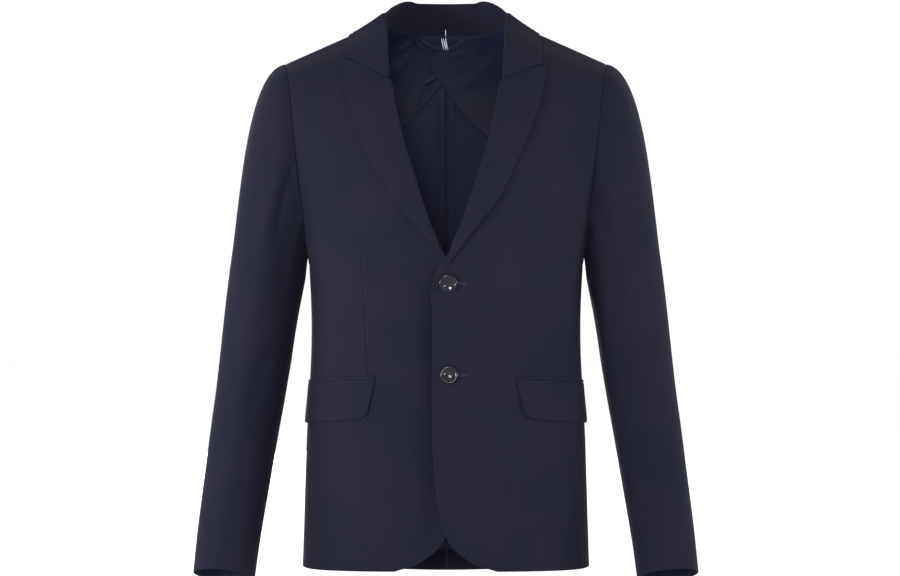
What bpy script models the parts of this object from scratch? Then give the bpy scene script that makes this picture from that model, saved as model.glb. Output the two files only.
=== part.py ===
"""A single-breasted, two-button suit jacket, filled out and hollow, with no wearer.

Tables are in millimetres and are turned to metres when a mesh is made. +Z is up, the front
faces -Y and +X is the wearer's left. The origin is midway between the shoulder-neck points.
"""

import math

import bpy
import numpy as np

MM = 0.001
CLOTH = 2.0  # wall of the body panels
SLEEVE_CLOTH = 1.8
COLLAR_CLOTH = 1.5
UNDER_CLOTH = 1.2
THIN = 1.0  # lining, binding and turn-ups
SEAM = 0.15  # each side of a seam is set back by this
SLEEVE_SEAM = 0.32  # more, because the pieces meet at an angle there
SIDE_Y = 2.0  # middle of the trunk's rings, front to back
FRONT_SEAM = 0.955  # share of the half width at which the side panel starts
BACK_SEAM = 0.93
OVERLAP_LIFT = 3.6  # the left front lies this far outside the right one
COLUMNS = 10
SHOULDER_HOLLOW = 5.0  # the shoulder dips beside the neck
HOLLOW_AT = 0.38
HOLLOW_WIDE = 0.12
NECK_CORNER = 0.385  # share of the shoulder row taken by the neck

NAVY = (0.020, 0.022, 0.038)
LINING = (0.014, 0.015, 0.030)
BUTTON = (0.008, 0.009, 0.014)

# The trunk below the armholes, from hem to armpit.
TRUNK = dict(
    t=(0.0, 0.015, 0.033, 0.058, 0.093, 0.143, 0.215, 0.32)
    + (0.42, 0.52, 0.62, 0.72, 0.82, 0.91, 1.0),
    front_z=(-727, -720, -712, -702, -688, -668, -640, -599)
    + (-559, -519, -480, -442, -401, -365, -330),
    side_z=(-730.5, -725, -717, -706, -692, -671, -642, -600)
    + (-559, -519, -480, -442, -401, -365, -330),
    back_z=(-748, -741, -732, -719, -703, -680, -649, -603)
    + (-560, -519, -480, -442, -401, -365, -330),
    half_width=(193, 193, 192.7, 192.3, 191.9, 191.2, 190.4, 189.2)
    + (187.8, 185.8, 183.6, 181.8, 181.4, 182.4, 184.2),
    front_y=(-126, -126, -126, -126, -125, -125, -124, -123)
    + (-121, -119, -117.5, -117, -119, -122, -125),
    back_y=(124, 124, 124, 123.5, 123, 122, 120, 116)
    + (111, 106, 101, 98, 98, 101, 105),
    power=(2.5, 2.5, 2.5, 2.5, 2.5, 2.5, 2.5, 2.48)
    + (2.46, 2.44, 2.42, 2.42, 2.44, 2.46, 2.48),
)

# Rows above the armpit: centre line, armhole edge, and how the row bulges between them.
UPPER_FRONT = dict(
    t=(1.0, 1.16, 1.32, 1.46, 1.60, 1.72, 1.82, 1.91, 2.0),
    centre_y=(-125, -128, -127.5, -123, -113, -96, -72, -40, 6),
    centre_z=(-330, -296, -258, -212, -158, -106, -56, -6, 43),
    edge_x=(None, 182, 190, 195, 200, 204.5, 208.5, 212.5, 216),
    edge_y=(None, -50, -50, -58, -62, -59, -48, -29, 6),
    edge_z=(None, -297, -262, -222, -175, -132, -96, -70, -53),
    power=(2.48, 2.46, 2.42, 2.35, 2.28, 2.2, 2.1, 2.05, 2.0),
    reach=(None, 0.94, 0.91, 0.88, 0.85, 0.80, 0.74, 0.66, 0.6),
)
UPPER_BACK = dict(
    t=(1.0, 1.16, 1.32, 1.46, 1.60, 1.72, 1.82, 1.91, 2.0),
    centre_y=(105, 108, 110, 111, 109, 102, 89, 62, 6),
    centre_z=(-330, -296, -258, -212, -158, -104, -50, 8, 43),
    edge_x=(None, 182, 190, 195.5, 201, 206, 210, 213.5, 216),
    edge_y=(None, 55, 58, 67, 70, 66, 55, 36, 6),
    edge_z=(None, -297, -262, -222, -175, -132, -96, -70, -53),
    power=(2.48, 2.46, 2.42, 2.35, 2.28, 2.2, 2.1, 2.05, 2.0),
    reach=(None, 0.93, 0.90, 0.87, 0.84, 0.79, 0.73, 0.66, 0.6),
)
SCYE = 1.32  # row at which the side panel's seams meet the armhole
# The armhole's lower curve, along the top of the side panel from the front.
ARMPIT = dict(
    t=(0.0, 0.25, 0.5, 0.75, 1.0),
    x=(190, 187.5, 186, 187.5, 190),
    y=(-50, -31, 2, 36, 58),
    z=(-262, -298, -314, -298, -262),
)

# Inner edge of a front: height and how far from the centre, from hem to gorge.
FRONT_EDGE = dict(
    z=(-727, -720, -712, -702, -688, -668, -640, -599, -560, -400)
    + (-345, -329, -316, -304, -278, -246, -212, -160, -108, -78),
    x=(68, 43, 29, 15, 4, -5, -11, -15.5, -17.5, -17.5)
    + (-16.5, -10, -1, 6.5, 20.5, 32, 43, 59, 71, 76),
)
# The neckline, from the gorge over the shoulder to the centre back, as row and share of the row.
NECK_FRONT = dict(
    t=(1.796, 1.838, 1.872, 1.932, 2.0),
    share=(0.366, 0.363, 0.365, 0.370, NECK_CORNER),
)
NECK_BACK = dict(
    t=(1.884, 1.896, 1.918, 1.955, 2.0),
    share=(0.0, 0.14, 0.235, 0.325, NECK_CORNER),
)

# Lapel: the roll line and the outer edge, from the break point to the gorge.
LAPEL = dict(
    t=(0.0, 0.1, 0.22, 0.35, 0.5, 0.65, 0.8, 0.92, 1.0),
    roll_z=(-303, -287, -265, -240, -207, -172, -135, -102, -80.3),
    roll_x=(6.5, 14, 24, 33.5, 44, 54.5, 63, 69.5, 73),
    edge_x_left=(18, 40, 65, 82, 99, 114.5, 126, 131.5, 133),
    edge_z_left=(-297, -277, -245, -213, -176, -138, -103, -78, -61.8),
    edge_x_right=(20, 38, 66, 85, 106, 122, 132.5, 136, 136),
    edge_z_right=(-297, -277, -245, -213, -176, -138, -101, -71, -50.1),
    belly=(0.67, 0.74, 0.8, 0.84, 0.84, 0.8, 0.74, 0.67, 0.63),
)
NOTCH = 0.68  # share of the gorge row at which the notch opens
NOTCH_RISE = dict(left=2.6, right=2.0)
LAPEL_ROWS = 15
ROLL_STEPS = 6
FACE_STEPS = 7
ROLL_BACK = 0.6  # the roll stands this far in front of the front's edge
LEG = 9.0  # width of the part inside the front
LEG_GAP = 1.2
LAPEL_GAP = 2.1  # over the front, so that the welt fits beneath

# Collar, from the gorge to the centre back: the stand's height, how upright it is and its lean to
# the neck, then the fall's outer edge on the body and how far the fall bulges.
COLLAR = dict(
    t=(0.0, 0.14, 0.28, 0.42, 0.54, 0.66, 0.8, 1.0),
    height=(6.5, 7.5, 9.5, 13.5, 30.5, 41, 43.5, 41.5),
    upright=(-0.6, -0.1, 0.4, 0.7, 0.85, 0.95, 1.0, 1.0),
    lean=(0.5, 0.45, 0.42, 0.42, 0.3, 0.2, 0.14, 0.12),
    edge_x_left=(128.2, 127.8, 126.5, 124.5, 114.5, 94, 57, 0),
    edge_z_left=(-57.5, -45, -30, -14.7, -16.5, -19, -23, -27),
    edge_x_right=(134, 135.5, 133, 128, 116, 94, 57, 0),
    edge_z_right=(-48, -38.5, -26.5, -15.6, -17, -19, -23, -27),
    bulge=(1.6, 1.8, 1.4, -0.8, -0.2, 2.4, 3.0, 2.8),
)
COLLAR_SECTIONS = (0.0, 0.1, 0.2, 0.31, 0.42, 0.49, 0.57, 0.66, 0.77, 0.88, 1.0)
COLLAR_ROLL = 3.6
COLLAR_SEAT = 1.0  # height of the neck seam over the body
EDGE_SEAT = 2.8  # and of the fall's outer edge

# Sleeve below the cap: centre line, half width across and half depth front to back.
SLEEVE = dict(
    t=(0.0, 0.12, 0.25, 0.38, 0.52, 0.68, 0.88, 1.0),
    x=(241, 248.5, 255.5, 262.6, 270.5, 279.6, 290, 294.8),
    y=(4, 3, 0, -6, -15, -30, -51, -64),
    z=(-337, -385, -439, -493, -546, -612, -691, -738),
    half_width=(51.5, 49.8, 48.4, 46.9, 45.6, 44, 42, 41),
    half_depth=(68, 66, 62, 59, 56, 53, 50, 48.5),
)
CAP_ROWS = 7
SLEEVE_ROWS = 13
FRONT_FOREARM_SEAM = 142.0  # degrees round the sleeve from its outer line, through the front
ELBOW_SEAM = 262.0

# Largest soft folds of a sleeve: angle round it, height, half length, half width and depth.
SLEEVE_FOLDS = dict(
    angle=(62, 105, 300, 75, 250),
    z=(-235, -470, -300, -560, -500),
    length=(60, 45, 70, 60, 50),
    width=(13, 22, 16, 24, 24),
    depth=(-2.6, -2.2, -2.4, -1.6, -2.2),
)
# Largest soft folds of a front: place, half length, half width, slope and depth.
FRONT_FOLDS = dict(
    x=(28, 60, 120, 95),
    z=(-345, -395, -250, -560),
    length=(45, 60, 55, 90),
    width=(9, 14, 18, 22),
    slope=(35, 12, 70, 80),
    depth=(-1.0, -1.2, -1.6, -1.2),
)

# Hip pocket flap, along its length from the front end.
FLAP = dict(
    t=(0.0, 0.05, 0.12, 0.3, 0.5, 0.7, 0.88, 0.96, 1.0),
    top=(-476, -476.2, -476.6, -477.6, -479, -481, -483, -484, -484.5),
    bottom=(-521, -526, -528.6, -530.6, -532.4, -534.4, -536, -533.5, -528),
)
FLAP_FRONT_X = 94.0
FLAP_LENGTH = 148.0
FLAP_SLANT = 0.165
FLAP_SHARES = (0.0, 0.05, 0.12, 0.24, 0.36, 0.48, 0.6, 0.72, 0.84, 0.93, 1.0)
FLAP_ROWS = 4
FLAP_MIDDLE = -505.0
FLAP_MOUTH = -478.0
FLAP_GAP = 0.5
FLAP_FLARE = 2.6
FLAP_CLOTH = 1.8
JET_EDGES = (4.5, 0.5)  # over the flap's top
JET_GAP = 0.55
JET_CLOTH = 1.2
WELT_TOP = -177.0
WELT_BOTTOM = -205.0
WELT_X = (86.0, 171.5)
WELT_SLANT = 13.0  # the hidden end follows the lapel's edge
WELT_GAP = 0.35
WELT_CLOTH = 1.4
BUTTONS = dict(z=(-349, -469.5), x=(3.0, 4.0))
BUTTON_RADIUS = 11.9
BUTTON_THICK = 4.2
BUTTON_SHANK = 0.9
# Half profile of a button: share of the radius, then height over its back.
BUTTON_PROFILE = (
    (0.0, 0.3), (0.55, 0.0), (0.86, 0.5), (1.0, 1.6), (1.0, 3.0), (0.93, 3.9),
    (0.82, 4.2), (0.7, 3.8), (0.58, 2.9), (0.3, 2.6), (0.0, 2.5),
)
BUTTON_SIDES = 18
HOLE_SIDES = 8
HOLE_RADIUS = 1.1
HOLE_PITCH = 3.3

# Lower edge of each half lining, from one side of the centre to the armhole side.
LINING_LEFT = dict(
    x=(-43, -33, -19, -3, 4, 22, 38, 60, 100, 185),
    z=(-16, -32, -55, -77, -88, -110, -129, -148, -172, -186),
)
LINING_RIGHT = dict(
    x=(-40, -24, -6, 14, 30, 46, 64, 100, 185),
    z=(-22, -40, -62, -84, -102, -120, -138, -166, -186),
)
LINING_COLUMNS = 13
LINING_ROWS = 7
NECK_GAP = 0.004  # in rows, between a lining and the neck seam
LINING_TOP = 1.992  # row under the shoulder seam at which a lining starts
LINING_SIDE = 0.955  # share of the row at which it ends
BINDING_X = (1.2, 12.5)
BINDING_ROWS = (0.07, 1.80)
TURNUP_ROWS = (0.003, 0.03, 0.056)
TURNUP_SHARES = (0.012, 0.93)
LAY = dict(binding=-2.5, right=-4.1, left=-6.0, loop=-6.9)  # outer faces, inside the back wall
LOOP_WIDE = 6.0
# The hanger loop's middle line, and how far it stands off the lining.
LOOP = dict(
    x=(-33, -31, -24, -13, -3, 8, 17, 23, 25),
    z=(-10, -13.5, -18.5, -22.5, -24, -22.5, -18, -13.5, -10),
    stand=(1.2, 2.6, 4, 5, 5.4, 5, 4, 2.6, 1.2),
)


def smooth(xs, ys, x):
    """Cubic through the points of a table, with slopes taken from the neighbours."""
    xs = np.asarray(xs, float)
    ys = np.asarray(ys, float)
    if xs[0] > xs[-1]:
        xs = xs[::-1]
        ys = ys[::-1]
    slopes = np.gradient(ys, xs)
    x = float(np.clip(x, xs[0], xs[-1]))
    i = int(np.clip(np.searchsorted(xs, x) - 1, 0, len(xs) - 2))
    h = xs[i + 1] - xs[i]
    f = (x - xs[i]) / h
    rise = (1 + 2 * f) * (1 - f) ** 2 * ys[i] + f * f * (3 - 2 * f) * ys[i + 1]
    return rise + h * f * (1 - f) ** 2 * slopes[i] - h * f * f * (1 - f) * slopes[i + 1]


def at(table, column, t):
    """Value of a table's column at t."""
    return smooth(table["t"], table[column], t)


def unit(v):
    v = np.asarray(v, float)
    return v / max(np.linalg.norm(v), 1e-9)


def ease(f):
    f = min(max(f, 0.0), 1.0)
    return f * f * (3 - 2 * f)


def arc_share(q, power, reach):
    """How far a row has turned from its centre to its edge: 0 at q=0 and 1 at q=1."""
    whole = 1 - (1 - reach**power) ** (1 / power)
    return (1 - (1 - (reach * q) ** power) ** (1 / power)) / whole


class Half:
    """One half's front or back, as rows from hem (t=0) over the armpit (t=1) to the shoulder (t=2)."""

    def __init__(self, side, back):
        self.side = side
        self.back = back
        upper = UPPER_BACK if back else UPPER_FRONT
        seam = BACK_SEAM if back else FRONT_SEAM
        name = "back" if back else "front"
        rows = []
        for i, t in enumerate(TRUNK["t"]):
            power = TRUNK["power"][i]
            y = TRUNK[name + "_y"][i]
            z = TRUNK[name + "_z"][i]
            width = TRUNK["half_width"][i]
            edge_y = SIDE_Y + (y - SIDE_Y) * (1 - seam**power) ** (1 / power)
            edge_z = z + (TRUNK["side_z"][i] - z) * 0.72
            rows.append((t, y, z, seam * width, edge_y, edge_z, power, seam))
        for i, t in enumerate(upper["t"]):
            if i:
                keys = ("t", "centre_y", "centre_z", "edge_x", "edge_y", "edge_z", "power", "reach")
                rows.append(tuple(upper[key][i] for key in keys))
        self.rows = np.array(rows, float)
        self.slopes = np.gradient(self.rows[:, 1:], self.rows[:, 0], axis=0)

    def row(self, t):
        if t > 2:  # past the shoulder seam, for slopes across it
            return Half(self.side, not self.back).row(4 - t)
        ts = self.rows[:, 0]
        i = int(np.clip(np.searchsorted(ts, t) - 1, 0, len(ts) - 2))
        h = ts[i + 1] - ts[i]
        f = (max(t, 0.0) - ts[i]) / h
        low = (1 + 2 * f) * (1 - f) ** 2 * self.rows[i, 1:] + h * f * (1 - f) ** 2 * self.slopes[i]
        high = f * f * (3 - 2 * f) * self.rows[i + 1, 1:] - h * f * f * (1 - f) * self.slopes[i + 1]
        return low + high

    def edge(self, t):
        _, _, x, y, z, _, _ = self.row(t)
        return np.array([x * self.side, y, z])

    def lift(self, x, z):
        """Soft folds, and the room that the overlapping front needs. Both are measured outward."""
        if self.back:
            return 0.0
        out = 0.0
        if self.side > 0:
            out += OVERLAP_LIFT * (1 - ease((x - 22) / 75)) * (1 - ease((z + 312) / 110))
        for i, depth in enumerate(FRONT_FOLDS["depth"]):
            slope = math.radians(FRONT_FOLDS["slope"][i])
            dx = x - FRONT_FOLDS["x"][i]
            dz = z - FRONT_FOLDS["z"][i]
            along = (dx * math.cos(slope) + dz * math.sin(slope)) / FRONT_FOLDS["length"][i]
            across = (dz * math.cos(slope) - dx * math.sin(slope)) / FRONT_FOLDS["width"][i]
            out += depth * math.exp(-along * along - across * across)
        return out

    def point(self, q, t):
        """Outer face at share q of the row, signed across the centre."""
        sign = -1.0 if q < 0 else 1.0
        q = abs(q)
        centre_y, centre_z, edge_x, edge_y, edge_z, power, reach = self.row(t)
        y = centre_y + (edge_y - centre_y) * arc_share(min(q, 0.999 / reach), power, reach)
        bend = ease((2 - t) / 0.5)
        z = centre_z + (edge_z - centre_z) * (q + (q * q - q) * bend)
        x = edge_x * q
        near = (q - HOLLOW_AT) / HOLLOW_WIDE
        z -= SHOULDER_HOLLOW * math.exp(-near * near) * ease((t - 1.75) / 0.25)
        y += self.lift(sign * x, z) * (1 if self.back else -1)
        return np.array([x * sign * self.side, y, z])

    def normal(self, q, t):
        d = 0.004
        across = self.point(q + d, t) - self.point(q - d, t)
        if q > 0.99:
            across = self.point(q, t) - self.point(q - d, t)
        up = self.point(q, t + d) - self.point(q, t - d if t > d else t)
        n = unit(np.cross(across, up))
        ahead = np.array([0.0, 1.0 if self.back else -1.0, 0.35])
        return n if n @ ahead > 0 else -n

    def share(self, x, t):
        """Share of the row at this signed distance from the centre."""
        return x / self.row(t)[2]

    def locate(self, x, z):
        """(q, t) of the outer face at x from the centre and height z."""
        low, high = 0.0, 2.0
        for _ in range(20):
            middle = (low + high) / 2
            if self.point(self.share(x, middle), middle)[2] < z:
                low = middle
            else:
                high = middle
        return self.share(x, low), low

    def out(self, q, t, distance):
        return self.point(q, t) + self.normal(q, t) * distance

    def over(self, x, z, distance):
        q, t = self.locate(x, z)
        return self.out(q, t, distance)


def grid_normals(grid):
    """Unit normals of a grid of points, from its neighbours."""
    down = np.gradient(grid, axis=0)
    across = np.gradient(grid, axis=1)
    n = np.cross(across, down)
    return n / np.maximum(np.linalg.norm(n, axis=2, keepdims=True), 1e-9)


def set_back(grid, amount=SEAM, sides="tblr"):
    """The grid with its edge rows moved inward within the surface."""
    g = grid.copy()
    moves = dict(
        t=(np.s_[0, :], np.s_[1, :]),
        b=(np.s_[-1, :], np.s_[-2, :]),
        l=(np.s_[:, 0], np.s_[:, 1]),
        r=(np.s_[:, -1], np.s_[:, -2]),
    )
    for side in sides:
        edge, inner = moves[side]
        step = grid[inner] - grid[edge]
        length = np.linalg.norm(step, axis=-1, keepdims=True)
        g[edge] = g[edge] + step / np.maximum(length, 1e-6) * np.minimum(amount, 0.4 * length)
    return g


def material(name, colour, rough, coat=0.0):
    made = bpy.data.materials.new(name)
    made.use_nodes = True
    shader = made.node_tree.nodes["Principled BSDF"]
    shader.inputs["Base Color"].default_value = (*colour, 1.0)
    shader.inputs["Roughness"].default_value = rough
    shader.inputs["Coat Weight"].default_value = coat
    made.diffuse_color = (*colour, 1.0)
    return made


def solid(name, points, faces, colour, rough=0.85, coat=0.0):
    """One closed mesh in metres, from points in millimetres."""
    mesh = bpy.data.meshes.new(name)
    places = [tuple(p * MM) for p in np.asarray(points, float)]
    mesh.from_pydata(places, [], [tuple(f) for f in faces])
    mesh.update()
    obj = bpy.data.objects.new(name, mesh)
    bpy.context.scene.collection.objects.link(obj)
    mesh.materials.append(material(name, colour, rough, coat))
    volume = 0.0
    for polygon in mesh.polygons:
        corners = [mesh.vertices[v].co for v in polygon.vertices]
        for i in range(1, len(corners) - 1):
            volume += corners[0].dot(corners[i].cross(corners[i + 1]))
    if volume < 0:
        mesh.flip_normals()
    return obj


def wall(name, outer, inner, colour, rough=0.85):
    """A closed cloth wall between two grids of the same size."""
    rows, cols = outer.shape[:2]
    points = np.concatenate([outer.reshape(-1, 3), inner.reshape(-1, 3)])
    far = rows * cols
    faces = []
    for r in range(rows - 1):
        for c in range(cols - 1):
            a = r * cols + c
            for half in ((a, a + 1, a + cols + 1), (a, a + cols + 1, a + cols)):
                faces.append(half)
                faces.append(tuple(far + v for v in reversed(half)))
    rim = list(range(cols))
    rim += [r * cols + cols - 1 for r in range(1, rows)]
    rim += [(rows - 1) * cols + c for c in range(cols - 2, -1, -1)]
    rim += [r * cols for r in range(rows - 2, 0, -1)]
    for i, a in enumerate(rim):
        b = rim[(i + 1) % len(rim)]
        faces.append((b, a, far + a, far + b))
    return solid(name, points, faces, colour, rough)


def sheet(name, grid, normals, thick, colour, rough=0.85, start=0.0):
    """A wall whose outer face is the grid moved out by start, and which is thick inward."""
    return wall(name, grid + normals * start, grid + normals * (start - thick), colour, rough)


TRUNK_ROWS = TRUNK["t"]
SEAM_ROWS = (1.0, 1.16, SCYE)
FRONT_ARM_ROWS = (1.32, 1.41, 1.50, 1.60, 1.70, 1.796, 1.86, 1.92, 1.965, 2.0)
BACK_ARM_ROWS = (1.32, 1.41, 1.50, 1.60, 1.70, 1.79, 1.84, 1.884, 1.905, 1.935, 1.965, 2.0)


def inner_share(half, t):
    """Where the front or back panel's inner edge lies in its row."""
    if half.back:
        if t <= NECK_BACK["t"][0]:
            return 0.0
        return max(0.0, at(NECK_BACK, "share", t))
    if t >= NECK_FRONT["t"][0]:
        return at(NECK_FRONT, "share", t)
    centre_z = half.row(t)[1]
    x = smooth(FRONT_EDGE["z"], FRONT_EDGE["x"], centre_z)
    for _ in range(12):
        z = half.point(half.share(x, t), t)[2]
        x = smooth(FRONT_EDGE["z"], FRONT_EDGE["x"], z)
    return half.share(x, t)


def panel_rows(half):
    """Rows of a front or back panel, shared with the pieces it meets."""
    arm = BACK_ARM_ROWS if half.back else FRONT_ARM_ROWS
    return sorted(set(TRUNK_ROWS + SEAM_ROWS + arm))


def body_panel(half):
    """A front or a back, with its normals, from hem to shoulder."""
    grid = []
    normals = []
    for t in panel_rows(half):
        start = inner_share(half, t)
        reach = half.row(t)[6]
        low = math.asin(min(1.0, abs(start) * reach)) * (1 if start >= 0 else -1)
        high = math.asin(reach)
        line = []
        for c in range(COLUMNS + 1):
            f = c / COLUMNS
            even = start + (1 - start) * f
            turned = math.sin(low + (high - low) * f) / reach
            q = (even + turned) / 2 if t < 1.95 else even
            line.append((half.point(q, t), half.normal(q, t)))
        grid.append([p for p, _ in line])
        normals.append([n for _, n in line])
    grid = np.array(grid)
    normals = np.array(normals)
    return grid, normals


def side_panel(side):
    """Under the arm: rings below the armpit, then up to the armhole's lower curve."""
    count = 7
    front_half = Half(side, False)
    back_half = Half(side, True)
    grid = []
    for t in TRUNK_ROWS:
        width = at(TRUNK, "half_width", t)
        power = at(TRUNK, "power", t)
        line = []
        for c in range(count + 1):
            f = c / count
            begin = -math.acos(FRONT_SEAM ** (power / 2))
            end = math.acos(BACK_SEAM ** (power / 2))
            a = begin + (end - begin) * f
            depth = at(TRUNK, "front_y" if a < 0 else "back_y", t) - SIDE_Y
            x = width * math.cos(a) ** (2 / power)
            y = SIDE_Y + depth * abs(math.sin(a)) ** (2 / power)
            ahead = front_half.edge(t)[2]
            behind = back_half.edge(t)[2]
            z = ahead + (behind - ahead) * f
            z += (at(TRUNK, "side_z", t) - (ahead + behind) / 2) * 4 * f * (1 - f)
            line.append(np.array([x * side, y, z]))
        line[0] = front_half.edge(t)
        line[-1] = back_half.edge(t)
        grid.append(line)
    base = grid[-1]
    for t in SEAM_ROWS[1:]:
        r = (t - 1) / (SCYE - 1)
        line = []
        for c in range(count + 1):
            f = c / count
            top = np.array([at(ARMPIT, "x", f) * side, at(ARMPIT, "y", f), at(ARMPIT, "z", f)])
            line.append(base[c] + (top - base[c]) * r)
        ahead = front_half.edge(t) - line[0]
        behind = back_half.edge(t) - line[-1]
        for c in range(count + 1):
            line[c] = line[c] + ahead * (1 - c / count) ** 2 + behind * (c / count) ** 2
        grid.append(line)
    grid = np.array(grid)
    normals = grid_normals(grid)
    if normals[5, 3, 0] * side < 0:
        normals = -normals
    for r in range(len(grid)):
        t = (tuple(TRUNK_ROWS) + SEAM_ROWS[1:])[r]
        normals[r, 0] = front_half.normal(1.0, t)
        normals[r, -1] = back_half.normal(1.0, t)
    return grid, normals


def armhole(side, panel, normals):
    """Points, normals and ways out of the armhole, from the shoulder through the front and back."""
    front = Half(side, False)
    back = Half(side, True)
    ring = []
    for t in reversed(FRONT_ARM_ROWS[1:]):
        outward = unit(front.edge(t) - front.point(0.93, t))
        ring.append((front.edge(t), front.normal(1.0, t), outward))
    last = panel.shape[1] - 1
    for c in range(last + 1):
        outward = unit(panel[-1, c] - panel[-2, c])
        ring.append((panel[-1, c], normals[-1, c], outward))
    for t in BACK_ARM_ROWS[1:-1]:
        outward = unit(back.edge(t) - back.point(0.93, t))
        ring.append((back.edge(t), back.normal(1.0, t), outward))
    return ring


def sleeve_frame(side, t):
    """Centre, direction down the arm, outward and forward unit vectors, half width and depth."""
    here = np.array([at(SLEEVE, k, t) for k in "xyz"])
    step = 0.03
    a = np.array([at(SLEEVE, k, max(t - step, 0)) for k in "xyz"])
    b = np.array([at(SLEEVE, k, min(t + step, 1)) for k in "xyz"])
    down = unit(b - a)
    outward = unit(np.array([1.0, 0, 0]) - down * down[0])
    forward = unit(np.cross(down, outward))
    if forward[1] > 0:
        forward = -forward
    flip = np.array([side, 1, 1])
    wide = at(SLEEVE, "half_width", t)
    deep = at(SLEEVE, "half_depth", t)
    return here * flip, down * flip, outward * flip, forward * flip, wide, deep


def fold_depth(angle, z):
    """How far the soft folds move a sleeve's cloth, at an angle round it and a height."""
    out = 0.0
    for i, depth in enumerate(SLEEVE_FOLDS["depth"]):
        turn = (angle - SLEEVE_FOLDS["angle"][i] + 180) % 360 - 180
        across = turn * 1.05 / SLEEVE_FOLDS["width"][i]
        along = (z - SLEEVE_FOLDS["z"][i]) / SLEEVE_FOLDS["length"][i]
        out += depth * math.exp(-across * across - along * along)
    return out


def sleeve_rings(side, ring):
    """Rings of points from the armhole to the cuff, and the angle of each column."""
    middle_z = (max(p[2] for p, _, _ in ring) + min(p[2] for p, _, _ in ring)) / 2
    angles = []
    for p, _, _ in ring:
        a = math.degrees(math.atan2(-(p[1] - 4), (p[2] - middle_z) * 0.62))
        angles.append(a % 360)
    angles[0] = 0.0
    centre, down, outward, forward, wide, deep = sleeve_frame(side, 0.0)
    rings = []
    ends = []
    for a in angles:
        turn = math.radians(a)
        ends.append(centre + outward * wide * math.cos(turn) + forward * deep * math.sin(turn))
    for r in range(CAP_ROWS):
        f = r / CAP_ROWS
        line = []
        for (p, n, way), end, a in zip(ring, ends, angles):
            c = math.cos(math.radians(a))
            s = math.sin(math.radians(a))
            begin = p + way * 2 * SEAM
            dist = np.linalg.norm(end - begin)
            top = 0.5 + 0.5 * c
            lead = unit(np.array([side * (0.5 + 0.62 * top), -0.3 * s, -0.12 - 0.95 * (1 - top)]))
            u = (2 * f**3 - 3 * f**2 + 1) * begin + (3 * f**2 - 2 * f**3) * end
            u += (f**3 - 2 * f**2 + f) * lead * dist * (0.38 + 0.2 * top)
            u += (f**3 - f**2) * down * dist * 0.86
            line.append(u)
        rings.append(line)
    for r in range(SLEEVE_ROWS + 1):
        t = r / SLEEVE_ROWS
        centre, down, outward, forward, wide, deep = sleeve_frame(side, t)
        line = []
        for a in angles:
            turn = math.radians(a)
            line.append(centre + outward * wide * math.cos(turn) + forward * deep * math.sin(turn))
        rings.append(line)
    rings = np.array(rings)
    closed = np.concatenate([rings[:, -1:], rings, rings[:, :1]], axis=1)
    normals = grid_normals(closed)[:, 1:-1]
    middle = rings.mean(axis=1, keepdims=True)
    if ((rings - middle) * normals)[10].sum() < 0:
        normals = -normals
    for k, (_, n, way) in enumerate(ring):  # the cloth turns over the armhole seam
        normals[0, k] = unit(n + normals[1, k] - 0.35 * way)
    for r in range(1, len(rings) - 1):
        for k, a in enumerate(angles):
            rings[r, k] += normals[r, k] * fold_depth(a, rings[r, k][2])
    return rings, normals, angles


def make_sleeve(side, word, ring):
    """A two-piece sleeve, parted at the forearm and elbow seams."""
    rings, normals, angles = sleeve_rings(side, ring)
    count = len(angles)
    first = min(range(count), key=lambda k: abs(angles[k] - FRONT_FOREARM_SEAM))
    second = min(range(count), key=lambda k: abs(angles[k] - ELBOW_SEAM))
    upper = [k % count for k in range(second, first + count + 1)]
    under = list(range(first, second + 1))
    for name, picks in (("sleeve_top_" + word, upper), ("sleeve_under_" + word, under)):
        grid = set_back(rings[:, picks], SLEEVE_SEAM, "lr")
        sheet(name, grid, normals[:, picks], SLEEVE_CLOTH, NAVY)


def lapel(side, word):
    """The facing: a short leg inside the front, the roll, then the turned-out face."""
    half = Half(side, False)
    low = -(CLOTH + LEG_GAP)
    high = LAPEL_GAP + COLLAR_CLOTH
    middle = (low - COLLAR_CLOTH + high) / 2
    tall = (high - low + COLLAR_CLOTH) / 2
    outer = []
    inner = []
    for r in range(LAPEL_ROWS + 1):
        t = r / LAPEL_ROWS
        roll_z = at(LAPEL, "roll_z", t)
        seat = np.array([smooth(FRONT_EDGE["z"], FRONT_EDGE["x"], roll_z), roll_z])
        roll = np.array([at(LAPEL, "roll_x", t), roll_z])
        end = np.array([at(LAPEL, "edge_x_" + word, t), at(LAPEL, "edge_z_" + word, t)])
        width = np.linalg.norm(end - roll)
        way = (end - roll) / width
        place = half.locate(*seat)
        n = half.normal(*place)
        base = half.point(*place)
        across = unit(half.point(*half.locate(*(seat + way * 4))) - base)
        leg = half.locate(*(seat + way * (LEG if width > 2 * LEG else LEG / 2)))
        outs = [half.out(*leg, low - COLLAR_CLOTH)]
        ins = [half.out(*leg, low)]
        for k in range(ROLL_STEPS + 1):
            a = math.pi * (k / ROLL_STEPS - 0.5)
            for line, size in ((outs, tall), (ins, tall - COLLAR_CLOTH)):
                back = ROLL_BACK + (size + 0.05 * tall) * math.cos(a)
                line.append(base + n * (middle + size * math.sin(a)) - across * back)
        for k in range(1, FACE_STEPS + 1):
            f = k / FACE_STEPS
            spot = seat + (end - seat) * f
            bump = min(math.sqrt(f / NOTCH), (1 - f) / (1 - NOTCH))
            spot[1] += NOTCH_RISE[word] * bump * ease((t - 0.86) / 0.14)
            place = half.locate(*spot)
            belly = at(LAPEL, "belly", t) * math.sin(math.pi * f) ** 2
            outs.append(half.out(*place, high + belly))
            ins.append(half.out(*place, high - COLLAR_CLOTH + belly))
        outer.append(outs)
        inner.append(ins)
    outer = set_back(np.array(outer), sides="b")
    inner = set_back(np.array(inner), sides="b")
    wall("lapel_" + word, outer, inner, NAVY)


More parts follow.
